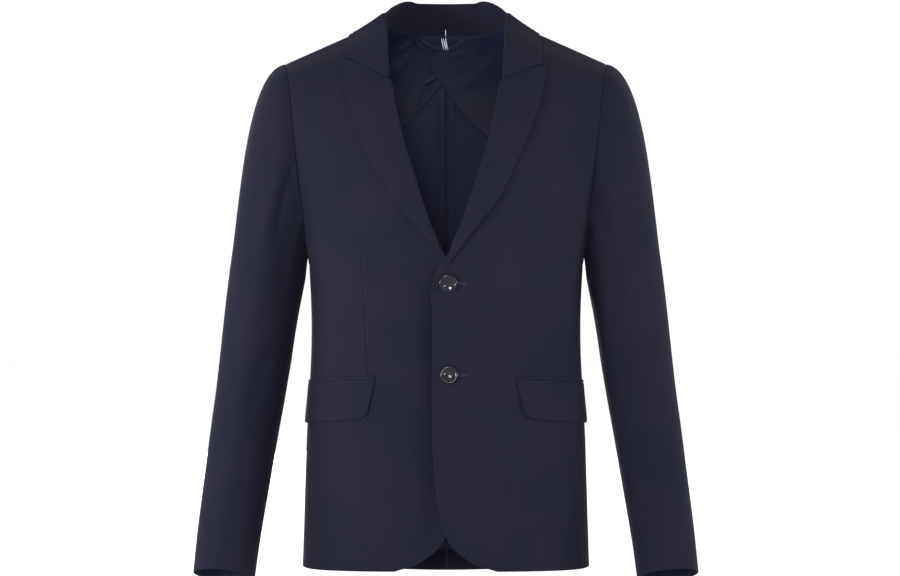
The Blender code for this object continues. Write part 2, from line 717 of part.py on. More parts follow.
def neck_place(side, t):
    """Half, share and row of the neckline at collar share t."""
    if t > 0.42:
        f = (t - 0.42) / 0.58
        row = NECK_BACK["t"][0] + (2.0 - NECK_BACK["t"][0]) * max(1 - f, 0.0) ** 1.9
        return Half(side, True), at(NECK_BACK, "share", row) if f < 1 else 0.0, row
    row = NECK_FRONT["t"][0] + (2.0 - NECK_FRONT["t"][0]) * t / 0.42
    return Half(side, False), at(NECK_FRONT, "share", row), row


def collar_section(side, t):
    """Outer face and its normals: up the inside of the stand, over the roll and down the fall."""
    word = "left" if side > 0 else "right"
    upright = at(COLLAR, "upright", t)
    height = at(COLLAR, "height", t)
    half, q, tt = neck_place(side, t)
    n = half.normal(q, tt)
    foot = half.out(q, tt, COLLAR_SEAT)
    before = neck_place(side, max(t - 0.01, 0.0))
    after = neck_place(side, min(t + 0.01, 1.0))
    along = after[0].point(*after[1:]) - before[0].point(*before[1:])
    if t > 0.99:
        along = np.array([1.0, 0.0, 0.0])
    inward = unit(np.cross(n, along))
    if inward @ (np.array([0.0, 0.0, foot[2] + 12.0]) - foot) < 0:
        inward = -inward
    up = np.array([0.0, 0.0, upright])
    rise = unit(n * (1 - upright) + up + inward * at(COLLAR, "lean", t))
    edge_half = Half(side, t > 0.48)
    edge = edge_half.locate(at(COLLAR, "edge_x_" + word, t), at(COLLAR, "edge_z_" + word, t))
    edge_n = edge_half.normal(*edge)
    end = edge_half.out(*edge, EDGE_SEAT + UNDER_CLOTH + 2 * SEAM + COLLAR_CLOTH)
    top = foot + rise * height
    away = unit((end - top) - rise * ((end - top) @ rise))
    centre = foot + rise * (height - COLLAR_ROLL) + away * COLLAR_ROLL
    fall = unit(end - centre)
    fall_n = unit(rise - fall * (rise @ fall))
    turn = math.acos(float(np.clip(fall_n @ -away, -1, 1)))
    points = [foot, foot + (centre - away * COLLAR_ROLL - foot) * 0.5]
    normals = [inward, -away]
    for k in range(5):
        a = turn * k / 4
        radial = -away * math.cos(a) + rise * math.sin(a)
        points.append(centre + radial * COLLAR_ROLL)
        normals.append(radial)
    begin = points[-1]
    for k in range(1, 6):
        f = k / 5
        bulge = at(COLLAR, "bulge", t) * 4 * f * (1 - f)
        points.append(begin + (end - begin) * f + fall_n * bulge)
        normals.append(unit(fall_n * (1 - f) + edge_n * f))
    return points, normals


def collar():
    """Top collar and under collar, from one notch round the neck to the other."""
    sections = []
    for t in COLLAR_SECTIONS[:-1]:
        sections.append(collar_section(-1, t))
    for t in reversed(COLLAR_SECTIONS):
        sections.append(collar_section(1, t))
    grid = np.array([p for p, _ in sections])
    normals = np.array([n for _, n in sections])
    sheet("top_collar", grid, normals, COLLAR_CLOTH, NAVY)
    sheet("under_collar", grid, normals, UNDER_CLOTH, NAVY, start=-(COLLAR_CLOTH + 2 * SEAM))


def ring_place(side, angle, z):
    """Point and normal of the trunk at this angle from the side, through the front if negative."""
    t = smooth(TRUNK["side_z"], TRUNK["t"], z)
    width = at(TRUNK, "half_width", t)
    power = at(TRUNK, "power", t)

    def place(a):
        depth = at(TRUNK, "front_y" if a < 0 else "back_y", t) - SIDE_Y
        x = width * abs(math.cos(a)) ** (2 / power)
        return np.array([x * side, SIDE_Y + depth * abs(math.sin(a)) ** (2 / power), z])

    along = place(angle + 0.01) - place(angle - 0.01)
    n = unit(np.cross(along, [0, 0, 1.0]))
    if n @ np.array([side, math.tan(max(min(angle, 1.2), -1.2)), 0]) < 0:
        n = -n
    return place(angle), n


def flap_angles(side, z, first_x, lengths):
    """Angles round the trunk at these arc lengths from first_x."""
    angle = -1.2
    while abs(ring_place(side, angle, z)[0][0]) < first_x:
        angle += 0.004
    found = []
    gone = 0.0
    here = ring_place(side, angle, z)[0]
    for length in lengths:
        while gone < length:
            angle += 0.01
            there = ring_place(side, angle, z)[0]
            gone += np.linalg.norm(there - here)
            here = there
        found.append(angle)
    return found


def pocket(side, word):
    """A hip pocket's flap, which flares off the body, and the jet above it."""
    flap = []
    fall = abs(at(FLAP, "bottom", 0.3) - at(FLAP, "top", 0.3))
    for r in range(FLAP_ROWS + 1):
        f = r / FLAP_ROWS
        lengths = [s * FLAP_LENGTH + FLAP_SLANT * fall * f * (1 - s) for s in FLAP_SHARES]
        angles = flap_angles(side, FLAP_MIDDLE, FLAP_FRONT_X, lengths)
        heights = [at(FLAP, "top", s) * (1 - f) + at(FLAP, "bottom", s) * f for s in FLAP_SHARES]
        flap.append([ring_place(side, a, z) for a, z in zip(angles, heights)])
    grid = np.array([[p for p, _ in line] for line in flap])
    normals = np.array([[n for _, n in line] for line in flap])
    shares = np.linspace(0, 1, FLAP_ROWS + 1)[:, None, None]
    gaps = FLAP_GAP + FLAP_FLARE * shares**1.5
    wall("pocket_flap_" + word, grid + normals * (gaps + FLAP_CLOTH), grid + normals * gaps, NAVY)

    angles = flap_angles(side, FLAP_MOUTH, FLAP_FRONT_X, [s * FLAP_LENGTH for s in FLAP_SHARES])
    jet = []
    for up in JET_EDGES:
        jet.append([ring_place(side, a, at(FLAP, "top", s) + up) for s, a in zip(FLAP_SHARES, angles)])
    grid = np.array([[p for p, _ in line] for line in jet])
    normals = np.array([[n for _, n in line] for line in jet])
    sheet("pocket_jet_" + word, grid, normals, JET_CLOTH, NAVY, start=JET_GAP + JET_CLOTH)


def chest_welt():
    """The breast pocket's welt, on the left front, whose front end lies under the lapel."""
    half = Half(1, False)
    grid = []
    normals = []
    for f in (0.0, 0.5, 1.0):
        z = WELT_TOP + (WELT_BOTTOM - WELT_TOP) * f
        line = []
        for k in range(7):
            s = k / 6
            x = (WELT_X[0] - WELT_SLANT * f) * (1 - s) + WELT_X[1] * s
            place = half.locate(x, z)
            line.append((half.point(*place), half.normal(*place)))
        grid.append([p for p, _ in line])
        normals.append([n for _, n in line])
    grid = np.array(grid)
    normals = np.array(normals)
    sheet("chest_welt", grid, normals, WELT_CLOTH, NAVY, start=WELT_GAP + WELT_CLOTH)


def button(name, x, z):
    """A dished four-hole button, turned about the front's normal."""
    half = Half(1, False)
    q, t = half.locate(x, z)
    n = half.normal(q, t)
    seat = half.out(q, t, BUTTON_SHANK)
    side_way = unit(np.cross([0, 0, 1.0], n))
    up_way = np.cross(n, side_way)
    count = BUTTON_SIDES
    points = []
    faces = []
    for share, height in BUTTON_PROFILE:
        if share == 0.0:
            points.append(seat + n * height)
            continue
        for k in range(count):
            a = 2 * math.pi * k / count
            spoke = side_way * math.cos(a) + up_way * math.sin(a)
            points.append(seat + n * height + spoke * share * BUTTON_RADIUS)
    rings = len(BUTTON_PROFILE) - 2
    for k in range(count):
        nxt = (k + 1) % count
        faces.append((0, 1 + nxt, 1 + k))
        for ring in range(rings - 1):
            a = 1 + ring * count
            faces.append((a + k, a + nxt, a + count + nxt, a + count + k))
        a = 1 + (rings - 1) * count
        faces.append((a + k, a + nxt, len(points) - 1))
    made = solid(name, points, faces, BUTTON, 0.22, 0.5)
    for i in (-1, 1):
        for j in (-1, 1):
            spot = seat + (side_way * i + up_way * j) * HOLE_PITCH / 2
            cutter(made, spot - n * 3, spot + n * (BUTTON_THICK + 3), HOLE_RADIUS)


def cutter(target, start, end, radius):
    """Cuts a round hole between two points."""
    way = unit(end - start)
    across = unit(np.cross(way, [0.3, 0.1, 1.0]))
    over = np.cross(way, across)
    count = HOLE_SIDES
    points = []
    for place in (start, end):
        for k in range(count):
            a = 2 * math.pi * k / count
            points.append(place + (across * math.cos(a) + over * math.sin(a)) * radius)
    faces = [tuple(range(count)), tuple(range(2 * count - 1, count - 1, -1))]
    for k in range(count):
        nxt = (k + 1) % count
        faces.append((k, count + k, count + nxt, nxt))
    tool = solid(target.name + "_hole", points, faces, BUTTON)
    tool.hide_render = True
    tool.display_type = "WIRE"
    cut = target.modifiers.new("hole", "BOOLEAN")
    cut.operation = "DIFFERENCE"
    cut.solver = "EXACT"
    cut.object = tool


def half_lining(side, word, table, lay):
    """A half lining, from the neck and shoulder down to its slanting lower edge."""
    half = Half(side, True)
    grid = []
    normals = []
    for c in range(LINING_COLUMNS + 1):
        f = (c / LINING_COLUMNS) ** 1.15
        x = table["x"][0] + (table["x"][-1] - table["x"][0]) * f
        q, bottom = half.locate(x, smooth(table["x"], table["z"], x))
        neck = float(np.interp(abs(q), NECK_BACK["share"], NECK_BACK["t"]))
        top = min(neck - NECK_GAP, LINING_TOP)
        line = []
        for r in range(LINING_ROWS + 1):
            t = top + (bottom - top) * r / LINING_ROWS
            share = min(half.share(x, t), LINING_SIDE)
            line.append((half.point(share, t), half.normal(share, t)))
        grid.append([p for p, _ in line])
        normals.append([n for _, n in line])
    grid = np.array(grid)
    normals = np.array(normals)
    sheet("back_lining_" + word, grid, normals, THIN, LINING, 0.5, start=lay)


def back_details(side, word):
    """The bound edge beside the centre seam and the hem's turn-up, inside the back."""
    half = Half(side, True)
    low, high = BINDING_ROWS
    rows = [t for t in panel_rows(half) if low < t < high] + [high]
    grid = np.array([[half.point(half.share(x, t), t) for x in BINDING_X] for t in rows])
    normals = np.array([[half.normal(half.share(x, t), t) for x in BINDING_X] for t in rows])
    sheet("seam_binding_" + word, grid, normals, THIN, NAVY, start=LAY["binding"])

    begin, end = TURNUP_SHARES
    turns = np.sin(np.linspace(0, math.pi / 2, COLUMNS))
    shares = begin + (end - begin) * turns
    grid = np.array([[half.point(q, t) for q in shares] for t in TURNUP_ROWS])
    normals = np.array([[half.normal(q, t) for q in shares] for t in TURNUP_ROWS])
    sheet("hem_turnup_" + word, grid, normals, THIN, NAVY, start=LAY["binding"])


def hanger_loop():
    """A band that hangs in a bow inside the neck and stands off the lining."""
    half = Half(1, True)
    places = np.column_stack([LOOP["x"], LOOP["z"]])
    ways = np.gradient(places, axis=0)
    ways /= np.linalg.norm(ways, axis=1, keepdims=True)
    across = np.column_stack([-ways[:, 1], ways[:, 0]]) * LOOP_WIDE / 2
    grid = []
    for line in (places + across, places - across):
        row = []
        for spot, stand in zip(line, LOOP["stand"]):
            row.append(half.over(*spot, LAY["loop"] - stand))
        grid.append(row)
    normals = [half.normal(*half.locate(*spot)) for spot in places]
    sheet("hanger_loop", np.array(grid), np.array([normals, normals]), THIN, NAVY)


def main():
    """Builds every piece, left and right."""
    for obj in list(bpy.data.objects):
        bpy.data.objects.remove(obj, do_unlink=True)
    for side, word in ((1, "left"), (-1, "right")):
        front, front_n = body_panel(Half(side, False))
        back, back_n = body_panel(Half(side, True))
        panel, panel_n = side_panel(side)
        sheet("front_" + word, set_back(front), front_n, CLOTH, NAVY)
        sheet("back_" + word, set_back(back), back_n, CLOTH, NAVY)
        sheet("side_panel_" + word, set_back(panel, sides="lr"), panel_n, CLOTH, NAVY)
        make_sleeve(side, word, armhole(side, panel, panel_n))
        lapel(side, word)
        pocket(side, word)
        back_details(side, word)
    half_lining(1, "left", LINING_LEFT, LAY["left"])
    half_lining(-1, "right", LINING_RIGHT, LAY["right"])
    collar()
    chest_welt()
    hanger_loop()
    for name, x, z in zip(("button_upper", "button_lower"), BUTTONS["x"], BUTTONS["z"]):
        button(name, x, z)


main()
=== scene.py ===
"""The looks of a two-button suit jacket in fine navy wool, filled out with no wearer.

Every table is in millimetres, in the frame of the solids: the front faces -Y, +X is the
wearer's left and +Z is up. Each piece of cloth is a thin shell on its solid's own form,
with soft folds, seams, stitching and a woven finish.
"""

import sys

import logging
import math
from dataclasses import dataclass, field
from enum import Enum

import bpy
import numpy as np
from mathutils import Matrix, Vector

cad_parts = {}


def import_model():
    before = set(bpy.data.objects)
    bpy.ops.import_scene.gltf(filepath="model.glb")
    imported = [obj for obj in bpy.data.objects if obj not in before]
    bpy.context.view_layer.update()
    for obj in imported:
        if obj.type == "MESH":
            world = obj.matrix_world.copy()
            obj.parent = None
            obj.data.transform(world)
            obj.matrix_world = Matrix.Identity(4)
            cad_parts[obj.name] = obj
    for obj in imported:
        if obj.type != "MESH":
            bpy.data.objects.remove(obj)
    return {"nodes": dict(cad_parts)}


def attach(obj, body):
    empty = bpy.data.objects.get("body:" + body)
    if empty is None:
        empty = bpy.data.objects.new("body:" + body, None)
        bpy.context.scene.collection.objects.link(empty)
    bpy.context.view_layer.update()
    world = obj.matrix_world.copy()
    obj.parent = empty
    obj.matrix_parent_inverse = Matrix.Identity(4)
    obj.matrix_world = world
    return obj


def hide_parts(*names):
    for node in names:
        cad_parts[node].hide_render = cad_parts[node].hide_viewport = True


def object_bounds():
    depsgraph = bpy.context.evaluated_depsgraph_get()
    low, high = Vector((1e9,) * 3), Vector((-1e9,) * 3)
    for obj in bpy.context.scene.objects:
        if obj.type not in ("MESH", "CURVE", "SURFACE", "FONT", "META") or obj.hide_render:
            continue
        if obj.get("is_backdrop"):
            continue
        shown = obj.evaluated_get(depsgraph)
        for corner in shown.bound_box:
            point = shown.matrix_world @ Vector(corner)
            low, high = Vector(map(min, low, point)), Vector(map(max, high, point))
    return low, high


LOG = logging.getLogger("jacket")
MM = 0.001
BODY = "root"
Array = np.ndarray
COARSE = 1.0


# ---------------------------------------------------------------- tables and form


def unit(v: Array) -> Array:
    """Vectors at length one, along the last axis."""
    v = np.asarray(v, float)
    return v / np.maximum(np.linalg.norm(v, axis=-1, keepdims=True), 1e-9)


def ease(f: Array) -> Array:
    """A soft step from 0 to 1."""
    f = np.clip(f, 0.0, 1.0)
    return f * f * (3 - 2 * f)


def bell(f: Array) -> Array:
    """A soft hump, 1 in the middle and near 0 at one away from it."""
    return np.exp(-np.square(f))


def edge_line(near: Array) -> Array:
    """The pressed line along an edge of the lapels and the collar, by the distance from it."""
    return bell((near - EDGE_LINE_AT) / EDGE_LINE_WIDE) * ease(near / 2)


def smooth(xs: Array, ys: Array, x: Array) -> Array:
    """Cubic through the points of a table, with slopes taken from the neighbours.

    Args:
        xs: Places along the table, rising or falling.
        ys: Values there, one column or several.
        x: Where to read it.

    Returns:
        The values, with the table's columns on the last axis where it has several.
    """
    xs = np.asarray(xs, float)
    ys = np.asarray(ys, float)
    if xs[0] > xs[-1]:
        xs, ys = xs[::-1], ys[::-1]
    slopes = np.gradient(ys, xs, axis=0)
    x = np.clip(np.asarray(x, float), xs[0], xs[-1])
    i = np.clip(np.searchsorted(xs, x) - 1, 0, len(xs) - 2)
    h = xs[i + 1] - xs[i]
    f = (x - xs[i]) / h
    if ys.ndim == 2:
        h, f = h[..., None], f[..., None]
    rise = (1 + 2 * f) * (1 - f) ** 2 * ys[i] + f * f * (3 - 2 * f) * ys[i + 1]
    return rise + h * f * (1 - f) ** 2 * slopes[i] - h * f * f * (1 - f) * slopes[i + 1]


@dataclass(frozen=True)
class Table:
    """Named columns over a key column, read as smooth curves."""

    key: tuple
    columns: dict = field(hash=False, default_factory=dict)

    def at(self, name: str, t: Array) -> Array:
        """One column at the places t."""
        return smooth(self.key, self.columns[name], t)


class Side(Enum):
    """The wearer's left or right, as the sign of X."""

    LEFT = 1
    RIGHT = -1

    @property
    def word(self) -> str:
        """The side's name in the names of pieces."""
        return self.name.lower()


@dataclass(frozen=True)
class Fold:
    """A soft trough or ridge on a surface, as a stroke with fading ends.

    Args:
        x: Middle, from the centre line or round the sleeve in degrees.
        z: Height of the middle.
        length: Half length.
        width: Half width.
        depth: How far it rises; below 0 it is a trough.
        slope: Turn of the stroke from level, in degrees.
        bow: How far its middle bends out of line.
        sharp: Above 1 gives a narrower crease at the bottom.
    """

    x: float
    z: float
    length: float
    width: float
    depth: float
    slope: float = 90.0
    bow: float = 0.0
    sharp: float = 1.0

    def rise(self, x: Array, z: Array) -> Array:
        """How far the surface moves out at each place.

        Args:
            x: Places, from the centre or in degrees.
            z: Heights.

        Returns:
            The rise at each place.
        """
        turn = math.radians(self.slope)
        dx, dz = x - self.x, z - self.z
        along = (dx * math.cos(turn) + dz * math.sin(turn)) / self.length
        across = dz * math.cos(turn) - dx * math.sin(turn) - self.bow * (1 - along * along)
        spread = np.abs(across / self.width) ** (2 / self.sharp)
        return self.depth * np.exp(-spread - along**4 * 0.8 - along * along * 0.35)


# Thickness of the cloth: body, sleeves, top collar and lapels, undercollar, and linings.
CLOTH = 2.0
SLEEVE_CLOTH = 1.8
COLLAR_CLOTH = 1.5
UNDER_CLOTH = 1.2
THIN = 1.0
# Half of the gap at a seam.
SEAM = 0.15
# Y of the side's outermost line, and the shares of the half width where the side seams run.
SIDE_Y = 2.0
FRONT_SEAM = 0.955
BACK_SEAM = 0.93
# How much of the way from the centre's height to the side's a side seam has gone.
SEAM_DROP = 0.72
# The left front's room over the right one, and where it fades: from, and over how far.
OVERLAP_LIFT = 3.6
OVERLAP_X = (22.0, 75.0)
OVERLAP_Z = (-312.0, 110.0)
# The dip along the shoulder, as shares of the row.
SHOULDER_HOLLOW = 5.0
HOLLOW_AT = 0.38
HOLLOW_WIDE = 0.12
# Share of the shoulder line where the neck begins, and the row of the armhole's lowest point.
NECK_CORNER = 0.385
SCYE = 1.32
# Rows where that dip begins and over how many it grows, and the same for the folds' fading.
HOLLOW_ROWS = (1.75, 0.25)
FOLD_ROWS = (1.7, 0.25)
# The pressed line along an edge: its distance from it and its half width.
EDGE_LINE_AT = 3.2
EDGE_LINE_WIDE = 1.6
# Step between the points that a normal is taken from.
STEP = 0.004
# Share of a row a little inside its outer edge.
INSET = 0.93
# The least flat side and the least filled share that a sheet of cloth may state.
LEAST_SIDE = 0.0101
LEAST_FILL = 0.31

TRUNK = Table(
    key=(0.0, 0.015, 0.033, 0.058, 0.093, 0.143, 0.215, 0.32, 0.42, 0.52, 0.62, 0.72, 0.82, 0.91, 1.0),
    columns=dict(
        front_z=(-727, -720, -712, -702, -688, -668, -640, -599, -559, -519, -480, -442, -401, -365, -330),
        side_z=(-730.5, -725, -717, -706, -692, -671, -642, -600, -559, -519, -480, -442, -401, -365, -330),
        back_z=(-748, -741, -732, -719, -703, -680, -649, -603, -560, -519, -480, -442, -401, -365, -330),
        half_width=(
            193, 193, 192.7, 192.3, 191.9, 191.2, 190.4, 189.2,
            187.8, 185.8, 183.6, 181.8, 181.4, 182.4, 184.2,
        ),
        front_y=(-126, -126, -126, -126, -125, -125, -124, -123, -121, -119, -117.5, -117, -119, -122, -125),
        back_y=(124, 124, 124, 123.5, 123, 122, 120, 116, 111, 106, 101, 98, 98, 101, 105),
        power=(2.5, 2.5, 2.5, 2.5, 2.5, 2.5, 2.5, 2.48, 2.46, 2.44, 2.42, 2.42, 2.44, 2.46, 2.48),
    ),
)
UPPER_T = (1.0, 1.16, 1.32, 1.46, 1.60, 1.72, 1.82, 1.91, 2.0)
EDGE_Z = (0, -297, -262, -222, -175, -132, -96, -70, -53)
UPPER_POWER = (2.48, 2.46, 2.42, 2.35, 2.28, 2.2, 2.1, 2.05, 2.0)
UPPER_FRONT = Table(
    key=UPPER_T,
    columns=dict(
        centre_y=(-125, -128, -127.5, -123, -113, -96, -72, -40, 6),
        centre_z=(-330, -296, -258, -212, -158, -106, -56, -6, 43),
        edge_x=(0, 182, 190, 195, 200, 204.5, 208.5, 212.5, 216),
        edge_y=(0, -50, -50, -58, -62, -59, -48, -29, 6),
        edge_z=EDGE_Z,
        power=UPPER_POWER,
        reach=(0, 0.94, 0.91, 0.88, 0.85, 0.80, 0.74, 0.66, 0.6),
    ),
)
UPPER_BACK = Table(
    key=UPPER_T,
    columns=dict(
        centre_y=(105, 108, 110, 111, 109, 102, 89, 62, 6),
        centre_z=(-330, -296, -258, -212, -158, -104, -50, 8, 43),
        edge_x=(0, 182, 190, 195.5, 201, 206, 210, 213.5, 216),
        edge_y=(0, 55, 58, 67, 70, 66, 55, 36, 6),
        edge_z=EDGE_Z,
        power=UPPER_POWER,
        reach=(0, 0.93, 0.90, 0.87, 0.84, 0.79, 0.73, 0.66, 0.6),
    ),
)
ARMPIT = Table(
    key=(0.0, 0.25, 0.5, 0.75, 1.0),
    columns=dict(x=(190, 187.5, 186, 187.5, 190), y=(-50, -31, 2, 36, 58), z=(-262, -298, -314, -298, -262)),
)
FRONT_EDGE = Table(
    key=(
        -727, -720, -712, -702, -688, -668, -640, -599, -560, -400,
        -345, -329, -316, -304, -278, -246, -212, -160, -108, -78,
    ),
    columns=dict(
        x=(68, 43, 29, 15, 4, -5, -11, -15.5, -17.5, -17.5, -16.5, -10, -1, 6.5, 20.5, 32, 43, 59, 71, 76),
    ),
)
NECK_FRONT = Table(
    key=(1.796, 1.838, 1.872, 1.932, 2.0),
    columns=dict(share=(0.366, 0.363, 0.365, 0.370, NECK_CORNER)),
)
NECK_BACK = Table(
    key=(1.884, 1.896, 1.918, 1.955, 2.0),
    columns=dict(share=(0.0, 0.14, 0.235, 0.325, NECK_CORNER)),
)

# Folds of the fronts: x is signed, from the centre towards each front's own side seam.
CAD_FOLDS = (
    Fold(28, -345, 45, 9, -1.0, 35),
    Fold(60, -395, 60, 14, -1.2, 12),
    Fold(120, -250, 55, 18, -1.6, 70),
    Fold(95, -560, 90, 22, -1.2, 80),
)
FRONT_FOLDS = {
    Side.LEFT: CAD_FOLDS + (
        Fold(34, -318, 34, 5.5, 0.9, 40, 2),
        Fold(70, -372, 52, 8, 0.8, 16, 3),
        Fold(52, -430, 60, 11, -0.7, 8, -2),
        Fold(150, -385, 46, 8, 0.9, -14, 3),
        Fold(140, -420, 50, 9, -0.9, -8, 2),
        Fold(30, -560, 110, 13, -0.9, 84, 3),
        Fold(120, -630, 80, 15, 1.1, 86, -3),
        Fold(164, -270, 40, 8, -1.3, 58, 2),
    ),
    Side.RIGHT: CAD_FOLDS + (
        Fold(13, -508, 182, 17, -6.0, 90),
        Fold(24, -322, 30, 5, -1.2, 38, 1.5),
        Fold(32, -336, 36, 6, 0.9, 34, 2),
        Fold(58, -355, 48, 8, -0.8, 22, 3),
        Fold(64, -412, 60, 12, 0.7, 6, -2),
        Fold(148, -392, 46, 8, 0.9, -16, 3),
        Fold(138, -430, 48, 10, -0.8, -6, 2),
        Fold(26, -600, 100, 12, -1.1, 82, 3),
        Fold(110, -640, 76, 16, 1.0, 88, -3),
        Fold(162, -262, 42, 8, -1.4, 60, 2),
    ),
}
BACK_FOLDS = (
    Fold(0, -395, 70, 16, -1.6, 0, 4),
    Fold(60, -372, 60, 10, 1.0, 8, 3),
    Fold(62, -432, 66, 12, -1.2, -6, 3),
    Fold(150, -260, 60, 13, -2.2, 76, 3),
    Fold(128, -215, 56, 10, 1.3, 70, 3),
    Fold(92, -160, 60, 14, -1.2, 58, 2),
    Fold(70, -600, 110, 18, 1.1, 86, 4),
    Fold(128, -640, 90, 16, -1.2, 84, -4),
    Fold(40, -70, 44, 9, -0.8, 8, 2),
)


def turn_share(q: Array, power: Array, reach: Array) -> Array:
    """How far a row has turned from its centre to its edge: 0 at q=0 and 1 at q=1."""
    whole = 1 - (1 - reach**power) ** (1 / power)
    return (1 - (1 - (reach * q) ** power) ** (1 / power)) / whole


class Half:
    """One half's front or back, as rows from hem (t=0) over the armpit (t=1) to the shoulder (t=2)."""

    def __init__(self, side: Side, back: bool) -> None:
        """Joins the trunk's rows and the rows above the armpit in one table.

        Args:
            side: The wearer's side.
            back: Whether it is the back.
        """
        self.side = side
        self.back = back
        self.keys, self.rows = self.row_table(back)
        self.far_keys, self.far_rows = self.row_table(not back)
        self.folds = BACK_FOLDS if back else FRONT_FOLDS[side]

    @staticmethod
    def row_table(back: bool) -> tuple[Array, Array]:
        """The row keys, and a row of seven values at each.

        Args:
            back: Whether it is the back's.

        Returns:
            The keys, and the values.
        """
        upper = UPPER_BACK if back else UPPER_FRONT
        seam = BACK_SEAM if back else FRONT_SEAM
        name = "back" if back else "front"
        column = TRUNK.columns
        power = np.array(column["power"])
        y = np.array(column[name + "_y"], float)
        z = np.array(column[name + "_z"], float)
        edge_y = SIDE_Y + (y - SIDE_Y) * (1 - seam**power) ** (1 / power)
        edge_z = z + (np.array(column["side_z"]) - z) * SEAM_DROP
        width = seam * np.array(column["half_width"])
        lower = np.stack([y, z, width, edge_y, edge_z, power, np.full(len(y), seam)], axis=1)
        names = ("centre_y", "centre_z", "edge_x", "edge_y", "edge_z", "power", "reach")
        above = np.stack([upper.columns[k][1:] for k in names], axis=1)
        return np.concatenate([TRUNK.key, upper.key[1:]]), np.concatenate([lower, above])

    def row(self, t: Array) -> Array:
        """The seven values of the rows t; past the shoulder seam they are the other half's.

        Args:
            t: Row keys.

        Returns:
            Centre's y and z, edge's x, y and z, power and reach.
        """
        t = np.asarray(t, float)
        here = smooth(self.keys, self.rows, t)
        past = smooth(self.far_keys, self.far_rows, 4 - t)
        return np.where((t > 2)[..., None], past, here)

    def edge(self, t: Array) -> Array:
        """The outer end of each row, on the side seam or the armhole."""
        row = self.row(t)
        return np.stack([row[..., 2] * self.side.value, row[..., 3], row[..., 4]], axis=-1)

    def lift(self, x: Array, z: Array) -> Array:
        """Soft folds, and the room that the overlapping front needs, measured outward.

        Args:
            x: Distances from the centre, signed.
            z: Heights.

        Returns:
            The lift at each place.
        """
        out = np.zeros(np.broadcast(x, z).shape)
        if self.side is Side.LEFT and not self.back:
            beside = 1 - ease((x - OVERLAP_X[0]) / OVERLAP_X[1])
            out = out + OVERLAP_LIFT * beside * (1 - ease((z - OVERLAP_Z[0]) / OVERLAP_Z[1]))
        for fold in self.folds:
            out = out + fold.rise(x, z)
        return out

    def point(self, q: Array, t: Array) -> Array:
        """Outer face at share q of the row, signed across the centre.

        Args:
            q: Shares of the row, signed.
            t: Row keys.

        Returns:
            The points.
        """
        q, t = np.broadcast_arrays(np.asarray(q, float), np.asarray(t, float))
        sign = np.where(q < 0, -1.0, 1.0)
        q = np.abs(q)
        centre_y, centre_z, edge_x, edge_y, edge_z, power, reach = np.moveaxis(self.row(t), -1, 0)
        y = centre_y + (edge_y - centre_y) * turn_share(np.minimum(q, 0.999 / reach), power, reach)
        z = centre_z + (edge_z - centre_z) * (q + (q * q - q) * ease((2 - t) / 0.5))
        x = edge_x * q
        near_top = ease((t - HOLLOW_ROWS[0]) / HOLLOW_ROWS[1])
        z = z - SHOULDER_HOLLOW * bell((q - HOLLOW_AT) / HOLLOW_WIDE) * near_top
        fade = 1 - ease((t - FOLD_ROWS[0]) / FOLD_ROWS[1])
        edge_fade = 1 - ease((q - INSET) / 0.07) * 0.6
        y = y + self.lift(sign * x, z) * (1 if self.back else -1) * fade * edge_fade
        return np.stack([x * sign * self.side.value, y, z], axis=-1)

    def normal(self, q: Array, t: Array) -> Array:
        """Outward unit normals.

        Args:
            q: Shares of the row, signed.
            t: Row keys.

        Returns:
            The normals.
        """
        q, t = np.broadcast_arrays(np.asarray(q, float), np.asarray(t, float))
        across = self.point(np.where(q > 0.99, q, q + STEP), t) - self.point(q - STEP, t)
        up = self.point(q, t + STEP) - self.point(q, np.where(t > STEP, t - STEP, t))
        n = unit(np.cross(across, up))
        ahead = np.array([0.0, 1.0 if self.back else -1.0, 0.35])
        return n * np.where((n @ ahead) > 0, 1.0, -1.0)[..., None]

    def share(self, x: Array, t: Array) -> Array:
        """Share of the row at this signed distance from the centre."""
        return x / self.row(t)[..., 2]

    def locate(self, x: Array, z: Array) -> tuple[Array, Array]:
        """Share and row of the outer face at x from the centre and height z.

        Args:
            x: Distances from the centre, signed.
            z: Heights.

        Returns:
            The shares and the row keys.
        """
        x, z = np.broadcast_arrays(np.asarray(x, float), np.asarray(z, float))
        low, high = np.zeros(x.shape), np.full(x.shape, 2.0)
        for _ in range(18):
            middle = (low + high) / 2
            under = self.point(self.share(x, middle), middle)[..., 2] < z
            low, high = np.where(under, middle, low), np.where(under, high, middle)
        return self.share(x, low), low

    def over(self, x: Array, z: Array, distance: Array) -> tuple[Array, Array]:
        """Points over the face at x and z, and the normals there.

        Args:
            x: Distances from the centre, signed.
            z: Heights.
            distance: How far outside the face.

        Returns:
            The points and the normals.
        """
        q, t = self.locate(x, z)
        n = self.normal(q, t)
        return self.point(q, t) + n * np.asarray(distance)[..., None], n

    def inner_share(self, t: Array) -> Array:
        """Where the panel's inner edge lies in each row.

        Args:
            t: Row keys.

        Returns:
            The share where each row begins.
        """
        if self.back:
            return np.where(t <= NECK_BACK.key[0], 0.0, np.maximum(NECK_BACK.at("share", t), 0))
        x = FRONT_EDGE.at("x", self.row(t)[..., 1])
        for _ in range(14):
            x = FRONT_EDGE.at("x", self.point(self.share(x, t), t)[..., 2])
        return np.where(t >= NECK_FRONT.key[0], NECK_FRONT.at("share", t), self.share(x, t))


# ---------------------------------------------------------------- shells


def grid_normals(grid: Array, around: bool = False) -> Array:
    """Unit normals of a grid of points, from its neighbours.

    Args:
        grid: Rows and columns of points.
        around: Whether the columns close into a tube.

    Returns:
        A normal for each point, of either sign but all alike.
    """
    if around:
        grid = np.concatenate([grid[:, -1:], grid, grid[:, :1]], axis=1)
    n = unit(np.cross(np.gradient(grid, axis=1), np.gradient(grid, axis=0)))
    return n[:, 1:-1] if around else n


